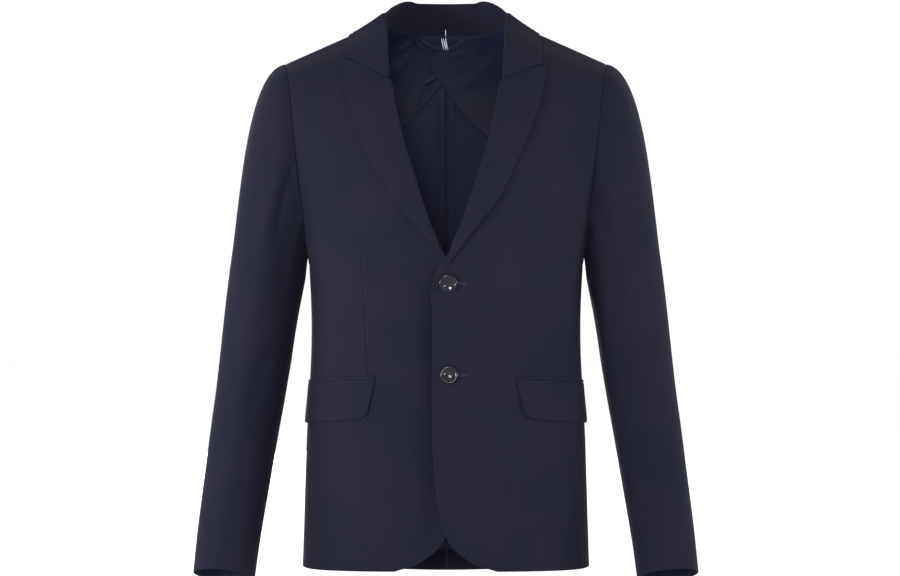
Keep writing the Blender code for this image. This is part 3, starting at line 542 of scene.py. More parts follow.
def lengths(grid: Array, axis: int) -> Array:
    """How far each point lies along its row or column."""
    steps = np.linalg.norm(np.diff(grid, axis=axis), axis=2)
    return np.cumsum(np.insert(steps, 0, 0.0, axis=axis), axis=axis)


def cloth_area(grid: Array) -> float:
    """Area of a grid of points, in square metres."""
    a = np.cross(grid[1:, 1:] - grid[:-1, :-1], grid[1:, :-1] - grid[:-1, 1:])
    return float(np.linalg.norm(a, axis=2).sum() / 2 * MM * MM)


@dataclass
class Shell:
    """A thin closed shell of cloth between two grids, with rounded edges.

    Args:
        name: The piece's name.
        face: Grid of the outer face, in millimetres.
        normals: Unit normals there.
        thick: Thickness of the cloth, inward.
        round_by: How far each edge is rounded off.
    """

    name: str
    face: Array
    normals: Array
    thick: float
    round_by: float = 0.5

    RIM_TURNS = (60.0, 30.0, 0.0, -30.0, -60.0)
    OVERLAP = 0.06

    def rim(self) -> Array:
        """Grid indices round the edge, in order.

        Returns:
            Each index of the edge once.
        """
        rows, cols = self.face.shape[:2]
        index = np.arange(rows * cols).reshape(rows, cols)
        return np.concatenate([index[0, :-1], index[:-1, -1], index[-1, :0:-1], index[:0:-1, 0]])

    def build(
        self,
        outside: bpy.types.Material,
        inside: bpy.types.Material | None = None,
    ) -> bpy.types.Object:
        """Makes the object.

        Args:
            outside: Finish of the outer face and the edges.
            inside: Finish of the inner face, where it differs.

        Returns:
            The new object, riding on the body.
        """
        rows, cols = self.face.shape[:2]
        count = rows * cols
        flat, n = self.face.reshape(-1, 3), self.normals.reshape(-1, 3)
        rim = self.rim()
        edge, edge_n = flat[rim], n[rim]
        along = unit(np.roll(edge, -1, axis=0) - np.roll(edge, 1, axis=0))
        away = unit(np.cross(along, edge_n))
        inner_ring = flat[self.inner_neighbours()]
        away *= np.where(((edge - inner_ring) * away).sum(axis=1) < 0, -1.0, 1.0)[:, None]
        reach = np.minimum(self.round_by, 0.45 * np.linalg.norm(edge - inner_ring, axis=1))[:, None]
        outer = flat.copy()
        outer[rim] = edge - away * reach
        inner = outer - n * self.thick
        rings = []
        for turn in self.RIM_TURNS:
            a = math.radians(turn)
            back = reach * (1 - math.cos(a)) - self.OVERLAP * math.cos(a)
            rings.append(edge - away * back - edge_n * self.thick * (1 - math.sin(a)) / 2)
        points = np.concatenate([outer, inner] + rings)
        between = [2 * count + k * len(rim) + np.arange(len(rim)) for k in range(len(rings))]
        loops = [rim] + between + [count + rim]
        index = np.arange(count).reshape(rows, cols)
        a, b = index[:-1, :-1].ravel(), index[:-1, 1:].ravel()
        c, d = index[1:, 1:].ravel(), index[1:, :-1].ravel()
        quads = np.stack([a, b, c, d], axis=1)
        faces = [quads, quads[:, ::-1] + count]
        for one, two in zip(loops[:-1], loops[1:]):
            faces.append(np.stack([np.roll(one, -1), one, two, np.roll(two, -1)], axis=1))
        faces = np.concatenate(faces)
        # The grid may run either way round, so its own first normals say which side is out.
        q = quads[len(quads) // 2]
        turned = np.cross(flat[q[2]] - flat[q[0]], flat[q[3]] - flat[q[1]])
        if turned @ n[q].sum(axis=0) < 0:
            faces = faces[:, ::-1]
        u, v = lengths(self.face, 1).ravel(), lengths(self.face, 0).ravel()
        uv = np.stack([u, v], axis=1) * MM
        uv = np.concatenate([uv, uv] + [uv[rim]] * len(rings))
        obj = mesh_object(self.name, points, faces, uv)
        obj.data.materials.append(outside)
        if inside is not None:
            obj.data.materials.append(inside)
            slots = np.zeros(len(faces), np.int32)
            slots[len(quads):2 * len(quads)] = 1
            obj.data.polygons.foreach_set("material_index", slots)
        return obj

    def inner_neighbours(self) -> Array:
        """For each index of the rim, its neighbour one step inward.

        Returns:
            One index for each of the rim's.
        """
        rows, cols = self.face.shape[:2]
        rim = self.rim()
        r, c = rim // cols, rim % cols
        return np.clip(r, 1, rows - 2) * cols + np.clip(c, 1, cols - 2)

    def cut(self) -> tuple[float, float, float]:
        """Width, length and area of the flat cloth, in metres.

        Returns:
            The three measures.
        """
        width = float(lengths(self.face, 1)[:, -1].max()) * MM
        length = float(lengths(self.face, 0)[-1].max()) * MM
        return width, length, cloth_area(self.face)


def mesh_object(name: str, points: Array, faces: Array, uv: Array | None = None) -> bpy.types.Object:
    """A smooth-shaded mesh object that rides on the body.

    Args:
        name: The piece's name.
        points: Points in millimetres.
        faces: Four corners a row, outward.
        uv: A place on the flat cloth for each point, in metres.

    Returns:
        The new object.
    """
    mesh = bpy.data.meshes.new(name)
    mesh.from_pydata((np.asarray(points) * MM).tolist(), [], np.asarray(faces).tolist())
    if uv is not None:
        layer = mesh.uv_layers.new(name="cloth")
        corners = np.empty(len(mesh.loops), np.int32)
        mesh.loops.foreach_get("vertex_index", corners)
        layer.data.foreach_set("uv", uv[corners].astype(np.float32).ravel())
    mesh.polygons.foreach_set("use_smooth", np.ones(len(mesh.polygons), bool))
    mesh.update()
    obj = bpy.data.objects.new(name, mesh)
    bpy.context.scene.collection.objects.link(obj)
    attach(obj, BODY)
    return obj


def dense(keys: tuple, spans: Array, spacing: float) -> Array:
    """Row keys with more put between them, so that no step is over the spacing.

    Args:
        keys: The first row keys.
        spans: How far the surface runs between each two of them.
        spacing: The longest step.

    Returns:
        All the keys, in order.
    """
    found = [keys[0]]
    for a, b, span in zip(keys[:-1], keys[1:], spans):
        count = max(1, math.ceil(span / spacing))
        found += [a + (b - a) * (k + 1) / count for k in range(count)]
    return np.array(found)


# ---------------------------------------------------------------- finishes


def link(tree: bpy.types.NodeTree, source: bpy.types.NodeSocket, target: bpy.types.NodeSocket) -> None:
    """Joins two sockets."""
    tree.links.new(source, target)


def node(tree: bpy.types.NodeTree, kind: str, **inputs: object) -> bpy.types.Node:
    """Adds a shader node and sets its inputs, by name with _ for a space.

    Args:
        tree: Where to add it.
        kind: Blender's name for the node.
        inputs: Values by input name.

    Returns:
        The node.
    """
    made = tree.nodes.new(kind)
    for name, value in inputs.items():
        made.inputs[name.replace("_", " ")].default_value = value
    return made


def principled(name: str, colour: tuple, rough: float) -> tuple[bpy.types.Material, bpy.types.Node]:
    """A new material and its Principled shader.

    Args:
        name: The material's name.
        colour: Its base colour.
        rough: Its roughness.

    Returns:
        The material and the shader.
    """
    made = bpy.data.materials.new(name)
    made.use_nodes = True
    shader = made.node_tree.nodes["Principled BSDF"]
    shader.inputs["Base Color"].default_value = (*colour, 1.0)
    shader.inputs["Roughness"].default_value = rough
    made.diffuse_color = (*colour, 1.0)
    return made, shader


def ramp(
    tree: bpy.types.NodeTree,
    source: bpy.types.NodeSocket,
    first: tuple,
    second: tuple,
    stops: tuple = (0.0, 1.0),
) -> bpy.types.NodeSocket:
    """Colours read between two stops.

    Args:
        tree: Where to add the node.
        source: The value that picks the colour.
        first: Colour at the first stop.
        second: Colour at the second stop.
        stops: Values at the two stops.

    Returns:
        The socket that gives the colour.
    """
    made = tree.nodes.new("ShaderNodeValToRGB")
    for element, stop, colour in zip(made.color_ramp.elements, stops, (first, second)):
        element.position = stop
        element.color = (*colour, 1.0)
    link(tree, source, made.inputs["Fac"])
    return made.outputs["Color"]


@dataclass(frozen=True)
class Woven:
    """A woven finish: fine diagonal ribs, flecked yarn and a soft bloom of fibre.

    Args:
        name: The material's name.
        colour: Colour of the yarn.
        second: Colour that it shifts to in broad soft patches.
        rough: Roughness.
        sheen: Weight of the fibre bloom.
        ribs: Ribs a metre.
        relief: Height of the weave's relief, in metres.
        sheen_colour: Colour of the bloom.
        sheen_rough: Roughness of the bloom.
        specular: Strength of the plain reflection.
        dark_fleck: What the darkest yarn multiplies the colour by.
        pale_fleck: What the palest yarn multiplies it by.
    """

    name: str
    colour: tuple
    second: tuple
    rough: float = 0.86
    sheen: float = 0.03
    ribs: float = 900.0
    relief: float = 0.00012
    sheen_colour: tuple = (0.52, 0.54, 0.75)
    sheen_rough: float = 0.45
    specular: float = 0.05
    dark_fleck: tuple = (0.72, 0.72, 0.74)
    pale_fleck: tuple = (1.26, 1.26, 1.3)

    def material(self) -> bpy.types.Material:
        """Builds the material.

        Returns:
            The new material.
        """
        made, shader = principled(self.name, self.colour, self.rough)
        tree = made.node_tree
        shader.inputs["Sheen Weight"].default_value = self.sheen
        shader.inputs["Sheen Roughness"].default_value = self.sheen_rough
        shader.inputs["Sheen Tint"].default_value = (*self.sheen_colour, 1.0)
        shader.inputs["Specular IOR Level"].default_value = self.specular
        place = tree.nodes.new("ShaderNodeUVMap")
        place.uv_map = "cloth"
        spot = tree.nodes.new("ShaderNodeTexCoord")
        broad = node(tree, "ShaderNodeTexNoise", Scale=9.0, Detail=3.0, Roughness=0.6)
        link(tree, spot.outputs["Object"], broad.inputs["Vector"])
        yarn = node(tree, "ShaderNodeTexNoise", Scale=self.ribs * 0.6, Detail=2.0, Roughness=0.7)
        link(tree, place.outputs["UV"], yarn.inputs["Vector"])
        patches = ramp(tree, broad.outputs["Fac"], self.colour, self.second, (0.36, 0.66))
        flecks = ramp(tree, yarn.outputs["Fac"], self.dark_fleck, self.pale_fleck, (0.3, 0.7))
        mixed = tree.nodes.new("ShaderNodeMix")
        mixed.data_type = "RGBA"
        mixed.blend_type = "MULTIPLY"
        mixed.inputs["Factor"].default_value = 1.0
        link(tree, patches, mixed.inputs["A"])
        link(tree, flecks, mixed.inputs["B"])
        link(tree, mixed.outputs["Result"], shader.inputs["Base Color"])
        twill = tree.nodes.new("ShaderNodeTexWave")
        twill.wave_type = "BANDS"
        twill.bands_direction = "DIAGONAL"
        twill.inputs["Scale"].default_value = self.ribs * 0.314
        twill.inputs["Distortion"].default_value = 0.6
        twill.inputs["Detail"].default_value = 1.0
        link(tree, place.outputs["UV"], twill.inputs["Vector"])
        heights = tree.nodes.new("ShaderNodeMath")
        heights.operation = "ADD"
        link(tree, twill.outputs["Fac"], heights.inputs[0])
        link(tree, yarn.outputs["Fac"], heights.inputs[1])
        bump = node(tree, "ShaderNodeBump", Strength=0.5, Distance=self.relief)
        link(tree, heights.outputs["Value"], bump.inputs["Height"])
        link(tree, bump.outputs["Normal"], shader.inputs["Normal"])
        return made


@dataclass(frozen=True)
class Gloss:
    """A polished moulded finish with faint clouds in its colour.

    Args:
        name: The material's name.
        colour: The darker colour.
        second: Colour of the clouds.
        rough: Roughness under the polish.
        specular: Strength of the plain reflection.
        coat: Weight of the polish.
        coat_rough: Roughness of the polish.
    """

    name: str
    colour: tuple
    second: tuple
    rough: float = 0.12
    specular: float = 0.05
    coat: float = 0.42
    coat_rough: float = 0.08

    def material(self) -> bpy.types.Material:
        """Builds the material.

        Returns:
            The new material.
        """
        made, shader = principled(self.name, self.colour, self.rough)
        tree = made.node_tree
        shader.inputs["Specular IOR Level"].default_value = self.specular
        shader.inputs["Coat Weight"].default_value = self.coat
        shader.inputs["Coat Roughness"].default_value = self.coat_rough
        spot = tree.nodes.new("ShaderNodeTexCoord")
        clouds = node(tree, "ShaderNodeTexNoise", Scale=260.0, Detail=3.0, Distortion=1.4)
        link(tree, spot.outputs["Object"], clouds.inputs["Vector"])
        colours = ramp(tree, clouds.outputs["Fac"], self.colour, self.second, (0.35, 0.7))
        link(tree, colours, shader.inputs["Base Color"])
        return made


class Finish(Enum):
    """Every finish on the jacket; each value is a slot name, which this script does not use."""

    WOOL = "wool"
    # The inside wool is the outer wool's cloth, painted about three times lighter: painted light for the
    # inside of the jacket.
    INNER = "wool_inside"
    SATIN = "lining"
    BUTTON = "buttons"
    THREAD = "thread"
    PALE_THREAD = "pale_thread"
    DARK_THREAD = "dark_thread"


RECIPES = {
    Finish.WOOL: Woven("navy_wool", (0.0066, 0.0069, 0.0138), (0.0080, 0.0079, 0.0152)),
    # Same wool as the outer face, with its colour painted about three times lighter as painted light for the
    # light reaching inside the back.
    Finish.INNER: Woven("navy_wool_inside_painted_light", (0.0190, 0.0209, 0.0410), (0.0217, 0.0228, 0.0432)),
    Finish.SATIN: Woven(
        "navy_satin", (0.0080, 0.0096, 0.0250), (0.0100, 0.0112, 0.0275),
        rough=0.55, sheen=0.02, ribs=1800.0, relief=0.00004, specular=0.12,
    ),
    Finish.BUTTON: Gloss("navy_horn", (0.0016, 0.0018, 0.0046), (0.0045, 0.0050, 0.0120)),
    Finish.THREAD: Woven(
        "navy_thread", (0.0150, 0.0155, 0.0290), (0.0200, 0.0200, 0.0350),
        rough=0.6, sheen=0.2, ribs=2600.0, relief=0.0001,
    ),
    Finish.DARK_THREAD: Woven(
        "black_navy_thread", (0.0040, 0.0044, 0.0095), (0.0055, 0.0058, 0.0120),
        rough=0.7, sheen=0.05, ribs=2600.0, relief=0.0001,
    ),
    Finish.PALE_THREAD: Woven(
        "silver_thread", (0.62, 0.64, 0.70), (0.50, 0.52, 0.58),
        rough=0.55, sheen=0.1, ribs=2600.0, relief=0.0001,
    ),
}


class Wardrobe:
    """The finishes, each built once, and the making of every piece with them."""

    def __init__(self) -> None:
        """Builds every material."""
        self.made = {finish: recipe.material() for finish, recipe in RECIPES.items()}

    def cloth(
        self,
        shell: Shell,
        cad: tuple,
        held: str,
        finish: Finish = Finish.WOOL,
        inside: Finish | None = None,
        rests_on: tuple = (),
        slot: str = "",
    ) -> bpy.types.Object:
        """Args:
            shell: What to make.
            cad: The CAD nodes that it stands for.
            held: How the cloth is held; not used.
            finish: The outer face's finish.
            inside: The inner face's finish, where it differs.
            rests_on: What it lies on or hangs from; not used.
            slot: A slot name, where it isn't the finish's own; not used.

        Returns:
            The new object.
        """
        obj = shell.build(self.made[finish], self.made[inside] if inside else None)
        width, length, area = shell.cut()
        width, length = max(width, LEAST_SIDE), max(length, LEAST_SIDE)
        area = min(area, width * length)
        if cad:
            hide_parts(*cad)
        area = max(area, LEAST_FILL * width * length)
        faces = len(obj.data.polygons)
        LOG.info("%s: cut %.0f x %.0f mm, %.4f m2, %d faces", obj.name, width / MM, length / MM, area, faces)
        return obj

    def hard(
        self,
        obj: bpy.types.Object,
        finish: Finish,
        cad: tuple = (),
        slot: str = "",
    ) -> bpy.types.Object:
        """Dresses a piece that isn't a sheet of cloth.

        Args:
            obj: The piece.
            finish: Its finish.
            cad: The CAD nodes that it stands for.
            slot: A slot name, where it isn't the finish's own; not used.

        Returns:
            The same piece.
        """
        obj.data.materials.append(self.made[finish])
        if cad:
            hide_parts(*cad)
        LOG.info("%s: %d faces", obj.name, len(obj.data.polygons))
        return obj


# ---------------------------------------------------------------- body


@dataclass
class Body:
    """Fronts, backs and side panels.

    Args:
        cell: Size of the mesh's cells.
        columns: Columns of a front or a back.
        side_columns: Columns of a side panel.
        darts: Height of the top and bottom of the front darts.
        dart_x: How far each front's dart lies from the centre, at its top and bottom.
        dart_wide: Half width of the dart's line.
        dart_deep: Depth of each dart's line.
        dart_swell: Height of the cloth's swell beside the line.
        edge_deep: Depth of the stitched line along the front edge.
        upper_rows: Rows of a side panel from the trunk's top row up.
    """

    wardrobe: Wardrobe
    cell: float = 3.0 * COARSE
    columns: int = round(82 / COARSE)
    side_columns: int = round(22 / COARSE)
    darts: tuple = (-270.0, -478.0)
    dart_x: dict = field(default_factory=lambda: {Side.LEFT: (108.0, 108.4), Side.RIGHT: (113.0, 102.0)})
    dart_wide: float = 1.0
    dart_deep: dict = field(default_factory=lambda: {Side.LEFT: 0.42, Side.RIGHT: 0.62})
    dart_swell: float = 0.26
    edge_deep: float = 0.45
    upper_rows: int = 24

    def rows(self, half: Half) -> Array:
        """Row keys from hem to shoulder.

        Args:
            half: The front or the back.

        Returns:
            The keys, in order.
        """
        keys = np.unique(np.concatenate([half.keys, [SCYE, NECK_FRONT.key[0], NECK_BACK.key[0], 1.9, 1.95]]))
        middle = half.point(0.6, keys)
        return dense(tuple(keys), np.linalg.norm(np.diff(middle, axis=0), axis=1), self.cell)

    def panel(self, half: Half) -> tuple[Array, Array, Array, Array]:
        """A front or a back: its points, normals, shares and rows.

        Args:
            half: The front or the back.

        Returns:
            The four grids.
        """
        t = self.rows(half)[:, None]
        start = half.inner_share(t)
        reach = half.row(t)[..., 6]
        low = np.arcsin(np.clip(start * reach, -1, 1))
        f = np.linspace(0, 1, self.columns + 1)[None, :]
        even = start + (1 - start) * f
        turned = np.sin(low + (np.arcsin(reach) - low) * f) / reach
        q = even + (turned - even) * 0.5 * (1 - ease((t - 1.85) / 0.1))
        if not half.back:
            q = self.crowd(half, q, t)
        t = np.broadcast_to(t, q.shape)
        return half.point(q, t), half.normal(q, t), q, t

    def dart_at(self, side: Side, z: Array) -> Array:
        """How far from the centre a front's dart runs at the height z.

        Args:
            side: The wearer's side.
            z: Heights.

        Returns:
            The distances.
        """
        lean = np.clip((z - self.darts[0]) / (self.darts[1] - self.darts[0]), 0, 1)
        first, last = self.dart_x[side]
        return first + (last - first) * lean

    def crowd(self, half: Half, q: Array, t: Array) -> Array:
        """Draws each row's columns together at the dart and along the front edge.

        Args:
            half: The front.
            q: Shares along each row.
            t: The rows, as a column.

        Returns:
            The moved shares.
        """
        row = half.row(t)
        x = q * row[..., 2]
        weight = 1 + 4.5 * bell((x - self.dart_at(half.side, row[..., 1])) / 6) + 3 * bell((x - x[:, :1]) / 9)
        run = np.cumsum((weight[:, 1:] + weight[:, :-1]) / 2, axis=1)
        run = np.insert(run / run[:, -1:], 0, 0.0, axis=1)
        f = np.linspace(0, 1, q.shape[1])
        return np.stack([np.interp(f, a, b) for a, b in zip(run, q)])

    def press(self, side: Side, face: Array, normals: Array) -> Array:
        """Presses the waist dart into a front as a fine sewn line, and the front edge flat.

        Args:
            side: The wearer's side.
            face: The front's points.
            normals: Its normals.

        Returns:
            The moved points.
        """
        x, z = face[..., 0] * side.value, face[..., 2]
        top, bottom = self.darts
        from_line = x - self.dart_at(side, z)
        fade = ease((top - z) / 50) * ease((z - bottom) / 5)
        pucker = 0.07 * np.sin(z * 0.62) + 0.05 * np.sin(z * 1.13 + 1.7)
        swell = (self.dart_swell + pucker) * bell((np.abs(from_line) - 3.4) / 2.2)
        move = (swell - self.dart_deep[side] * bell(from_line / self.dart_wide)) * fade
        from_edge = x - x[:, :1]
        move = move - self.edge_deep * bell((from_edge - 5) / 1.8) * ease((-335 - z) / 30)
        return face + normals * move[..., None]

    def side_panel(self, side: Side) -> tuple[Array, Array]:
        """Under the arm: rings below the armpit, then up to the armhole's lower curve.

        Args:
            side: The wearer's side.

        Returns:
            The points and the normals.
        """
        front, back = Half(side, False), Half(side, True)
        keys = dense(TRUNK.key, np.abs(np.diff(TRUNK.columns["side_z"])), self.cell)[:, None]
        f = np.linspace(0, 1, self.side_columns + 1)[None, :]
        width, power = TRUNK.at("half_width", keys), TRUNK.at("power", keys)
        begin = -np.arccos(FRONT_SEAM ** (power / 2))
        end = np.arccos(BACK_SEAM ** (power / 2))
        a = begin + (end - begin) * f
        depth = np.where(a < 0, TRUNK.at("front_y", keys), TRUNK.at("back_y", keys)) - SIDE_Y
        x = width * np.cos(a) ** (2 / power)
        y = SIDE_Y + depth * np.abs(np.sin(a)) ** (2 / power)
        ahead, behind = front.edge(keys)[..., 2], back.edge(keys)[..., 2]
        z = ahead + (behind - ahead) * f + (TRUNK.at("side_z", keys) - (ahead + behind) / 2) * 4 * f * (1 - f)
        grid = np.stack([x * side.value, y, z], axis=-1)
        grid[:, 0], grid[:, -1] = front.edge(keys[:, 0]), back.edge(keys[:, 0])
        base, f = grid[-1], f[0]
        top = np.stack([ARMPIT.at("x", f) * side.value, ARMPIT.at("y", f), ARMPIT.at("z", f)], axis=-1)
        above = []
        upper = np.linspace(1.0, SCYE, self.upper_rows)[1:]
        for t in upper:
            line = base + (top - base) * (t - 1) / (SCYE - 1)
            line = line + (front.edge(t) - line[0]) * ((1 - f) ** 2)[:, None]
            above.append(line + (back.edge(t) - line[-1]) * (f**2)[:, None])
        grid = np.concatenate([grid, above])
        n = grid_normals(grid)
        n *= np.sign(n[5, 3, 0] * side.value)
        t = np.concatenate([keys[:, 0], upper])
        n[:, 0], n[:, -1] = front.normal(1.0, t), back.normal(1.0, t)
        n[:, 1], n[:, -2] = unit(n[:, 0] + n[:, 2]), unit(n[:, -1] + n[:, -3])
        return grid, n

    def build(self) -> dict:
        """Makes the six panels.

        Returns:
            The points and normals of each side's side panel.
        """
        panels = {}
        for side in Side:
            for back in (False, True):
                half = Half(side, back)
                face, n, _, _ = self.panel(half)
                if not back:
                    face = self.press(side, face, n)
                word = "back_" if back else "front_"
                shell = Shell(word + side.word + "_cloth", face, n, CLOTH, 0.55)
                # The backs' inner face takes the inside wool, whose lighter colour is painted light for the
                # inside of the jacket.
                inside = Finish.INNER if back else Finish.SATIN
                self.wardrobe.cloth(shell, (word + side.word,), "draped", inside=inside)
            grid, n = self.side_panel(side)
            shell = Shell("side_panel_" + side.word + "_cloth", grid, n, CLOTH, 0.5)
            self.wardrobe.cloth(shell, ("side_panel_" + side.word,), "draped", inside=Finish.SATIN)
            panels[side] = (grid, n)
        return panels


# ---------------------------------------------------------------- sleeves


SLEEVE = Table(
    key=(0.0, 0.12, 0.25, 0.38, 0.52, 0.68, 0.88, 1.0),
    columns=dict(
        x=(241, 248.5, 255.5, 262.6, 270.5, 279.6, 290, 294.8),
        y=(4, 3, 0, -6, -15, -30, -51, -64),
        z=(-337, -385, -439, -493, -546, -612, -691, -738),
        half_width=(51.5, 49.8, 48.4, 46.9, 45.6, 44, 42, 41),
        half_depth=(68, 66, 62, 59, 56, 53, 50, 48.5),
    ),
)
# Angles go round a sleeve from its outer line, through the front.
SLEEVE_FOLDS = (
    Fold(62, -235, 60, 13, -2.6),
    Fold(105, -470, 45, 22, -2.2),
    Fold(300, -300, 70, 16, -2.4),
    Fold(75, -560, 60, 24, -1.6),
    Fold(250, -500, 50, 24, -2.2),
)
OWN_FOLDS = {
    Side.RIGHT: (
        Fold(98, -232, 66, 10, -3.6, 92, 2, 1.3),
        Fold(80, -225, 70, 9, 1.9, 88, -2),
        Fold(84, -440, 250, 17, 1.7, 90, 4),
        Fold(118, -440, 230, 20, -1.6, 90, 4),
        Fold(118, -300, 60, 10, -1.4, 96, 3),
        Fold(60, -395, 62, 14, -1.2, 72, 4),
        Fold(112, -425, 40, 12, 1.2, 40, 4),
        Fold(128, -455, 44, 10, -1.6, 34, 4),
        Fold(100, -512, 50, 12, -1.0, 46, 3),
        Fold(58, -640, 70, 14, -0.9, 96, 3),
    ),
    Side.LEFT: (
        Fold(118, -232, 60, 9, -3.6, 84, 2, 1.3),
        Fold(112, -420, 230, 18, -1.5, 90, -4),
        Fold(98, -214, 60, 9, 1.4, 88, 2),
        Fold(74, -305, 64, 12, -1.2, 84, -3),
        Fold(64, -410, 60, 14, -1.1, 106, 4),
        Fold(114, -430, 40, 12, 1.1, 142, 4),
        Fold(126, -462, 44, 10, -1.5, 146, 4),
        Fold(98, -530, 52, 12, -1.0, 132, 3),
        Fold(64, -650, 66, 13, -0.8, 84, 3),
    ),
}
BACK_SLEEVE_FOLDS = (
    Fold(236, -268, 60, 12, -2.4, 86, 3),
    Fold(258, -225, 50, 9, 1.4, 88, 2),
    Fold(226, -440, 40, 12, 1.6, 30, 5),
    Fold(238, -470, 44, 11, -1.6, 28, 5),
    Fold(222, -402, 40, 11, -1.4, 34, 4),
    Fold(264, -560, 60, 14, -1.0, 80, 4),
)


@dataclass
class Sleeves:
    """Two-piece sleeves, from the armhole to the open cuff.

    Args:
        panels: Points and normals of each side's side panel.
        cap_rows: Rows between the armhole and the sleeve proper.
        cell: Size of the mesh's cells below them.
        ring_points: Points along the front, and along the back, of an armhole.
        forearm_seam: Angle of the seam between the pieces, at the front.
        elbow_seam: Angle of the seam behind.
        tuck: How far the first ring reaches in under the back.
        length: About how long the sleeve is below its cap.
        cap_pull: How strongly the cap leaves the armhole outward, and how much more at its top.
        ring_pull: How strongly it runs into the sleeve below.
        seam_rows: Rows whose normals turn from the body's to the sleeve's.
        fade_rows: Rows over which the folds grow.
    """

    wardrobe: Wardrobe
    panels: dict
    cap_rows: int = round(48 / COARSE)
    cell: float = 2.8 * COARSE
    ring_points: int = round(46 / COARSE)
    forearm_seam: float = 142.0
    elbow_seam: float = 262.0
    tuck: float = 1.1
    length: float = 410.0
    cap_pull: tuple = (0.38, 0.2)
    ring_pull: float = 0.86
    seam_rows: int = 5
    fade_rows: int = 7

    def armhole(self, side: Side) -> tuple[Array, Array, Array]:
        """Points, normals and ways out of the armhole, from the shoulder through front and back.

        Args:
            side: The wearer's side.

        Returns:
            The three rings.
        """
        front, back = Half(side, False), Half(side, True)
        panel, n = self.panels[side]
        down = np.linspace(2.0, SCYE, self.ring_points)
        up = down[::-1]
        parts = [
            (front.edge(down), front.normal(1.0, down), unit(front.edge(down) - front.point(INSET, down))),
            (panel[-1, 1:-1], n[-1, 1:-1], unit(panel[-1, 1:-1] - panel[-4, 1:-1])),
            (back.edge(up), back.normal(1.0, up), unit(back.edge(up) - back.point(INSET, up))),
        ]
        ring, normals, ways = (np.concatenate([p[k] for p in parts])[:-1] for k in range(3))
        for _ in range(6):
            ways = unit(ways + 0.5 * (np.roll(ways, 1, axis=0) + np.roll(ways, -1, axis=0)))
            normals = unit(normals + 0.25 * (np.roll(normals, 1, axis=0) + np.roll(normals, -1, axis=0)))
        return ring, normals, ways

    @staticmethod
    def middle(t: Array) -> Array:
        """The middle of the left sleeve at the shares t of its length."""
        return np.stack([SLEEVE.at(k, t) for k in "xyz"], axis=-1)

    def frame(self, side: Side, t: Array) -> tuple:
        """Centres, ways down, outward and forward, and half widths and depths at the shares t.

        Args:
            side: The wearer's side.
            t: Shares of the sleeve's length.

        Returns:
            The six arrays, in that order.
        """
        down = unit(self.middle(np.minimum(t + 0.03, 1)) - self.middle(np.maximum(t - 0.03, 0)))
        outward = unit(np.array([1.0, 0, 0]) - down * down[..., :1])
        forward = unit(np.cross(down, outward))
        forward = forward * np.where(forward[..., 1:2] > 0, -1.0, 1.0)
        flip = np.array([side.value, 1, 1])
        wide, deep = SLEEVE.at("half_width", t), SLEEVE.at("half_depth", t)
        return self.middle(t) * flip, down * flip, outward * flip, forward * flip, wide, deep

    def folds(self, side: Side, angle: Array, z: Array) -> Array:
        """How far the soft folds move the surface out.

        Args:
            side: The wearer's side.
            angle: Angles round the sleeve, in degrees.
            z: Heights.

        Returns:
            The move at each place.
        """
        out = np.zeros(np.broadcast(angle, z).shape)
        for fold in SLEEVE_FOLDS + OWN_FOLDS[side] + BACK_SLEEVE_FOLDS:
            near = (angle - fold.x + 180) % 360 - 180
            out = out + fold.rise(fold.x + near * 1.05, z)
        return out

    def rings(self, side: Side) -> tuple[Array, Array, Array]:
        """Rings of points from the armhole to the cuff, normals, and each column's angle.

        Args:
            side: The wearer's side.

        Returns:
            The grid, the normals and the angles.
        """
        ring, ring_n, ways = self.armhole(side)
        middle_z = (ring[:, 2].max() + ring[:, 2].min()) / 2
        angles = np.degrees(np.arctan2(-(ring[:, 1] - 4), (ring[:, 2] - middle_z) * 0.62)) % 360
        angles[0] = 0.0
        c, s = np.cos(np.radians(angles))[:, None], np.sin(np.radians(angles))[:, None]
        centre, down, outward, forward, wide, deep = self.frame(side, np.array(0.0))
        ends = centre + outward * wide * c + forward * deep * s
        begin = ring + ways * (2 * SEAM - self.tuck * ease((-0.1 - s) / 0.4))
        dist = np.linalg.norm(ends - begin, axis=1)[:, None]
        top = 0.5 + 0.5 * c
        lead = [side.value * (0.5 + 0.62 * top), -0.3 * s, -0.12 - 0.95 * (1 - top)]
        lead = unit(np.concatenate(lead, axis=1))
        found = []
        for f in np.arange(self.cap_rows) / self.cap_rows:
            u = (2 * f**3 - 3 * f**2 + 1) * begin + (3 * f**2 - 2 * f**3) * ends
            u = u + (f**3 - 2 * f**2 + f) * lead * dist * (self.cap_pull[0] + self.cap_pull[1] * top)
            found.append(u + (f**3 - f**2) * down * dist * self.ring_pull)
        t = np.linspace(0, 1, int(self.length / self.cell))
        centre, down, outward, forward, wide, deep = (v[:, None] for v in self.frame(side, t))
        lower = centre + outward * wide[..., None] * c + forward * deep[..., None] * s
        grid = np.concatenate([found, lower])
        n = grid_normals(grid, around=True)
        middle = grid.mean(axis=1, keepdims=True)
        if ((grid - middle) * n)[self.cap_rows + 9].sum() < 0:
            n = -n
        last = self.seam_rows - 1
        first = unit(ring_n + n[last - 1] - 0.35 * ways)
        for r, share in enumerate(np.linspace(1, 0, self.seam_rows)[:last]):
            n[r] = unit(first * share + n[last] * (1 - share))
        fade = ease(np.arange(len(grid)) / self.fade_rows)[:, None]
        move = self.folds(side, angles[None, :], grid[..., 2]) * fade
        grid = grid + n * move[..., None]
        again = grid_normals(grid, around=True)
        again *= np.sign((again * n).sum(axis=2, keepdims=True))
        again[:self.seam_rows] = n[:self.seam_rows]
        return grid, again, angles

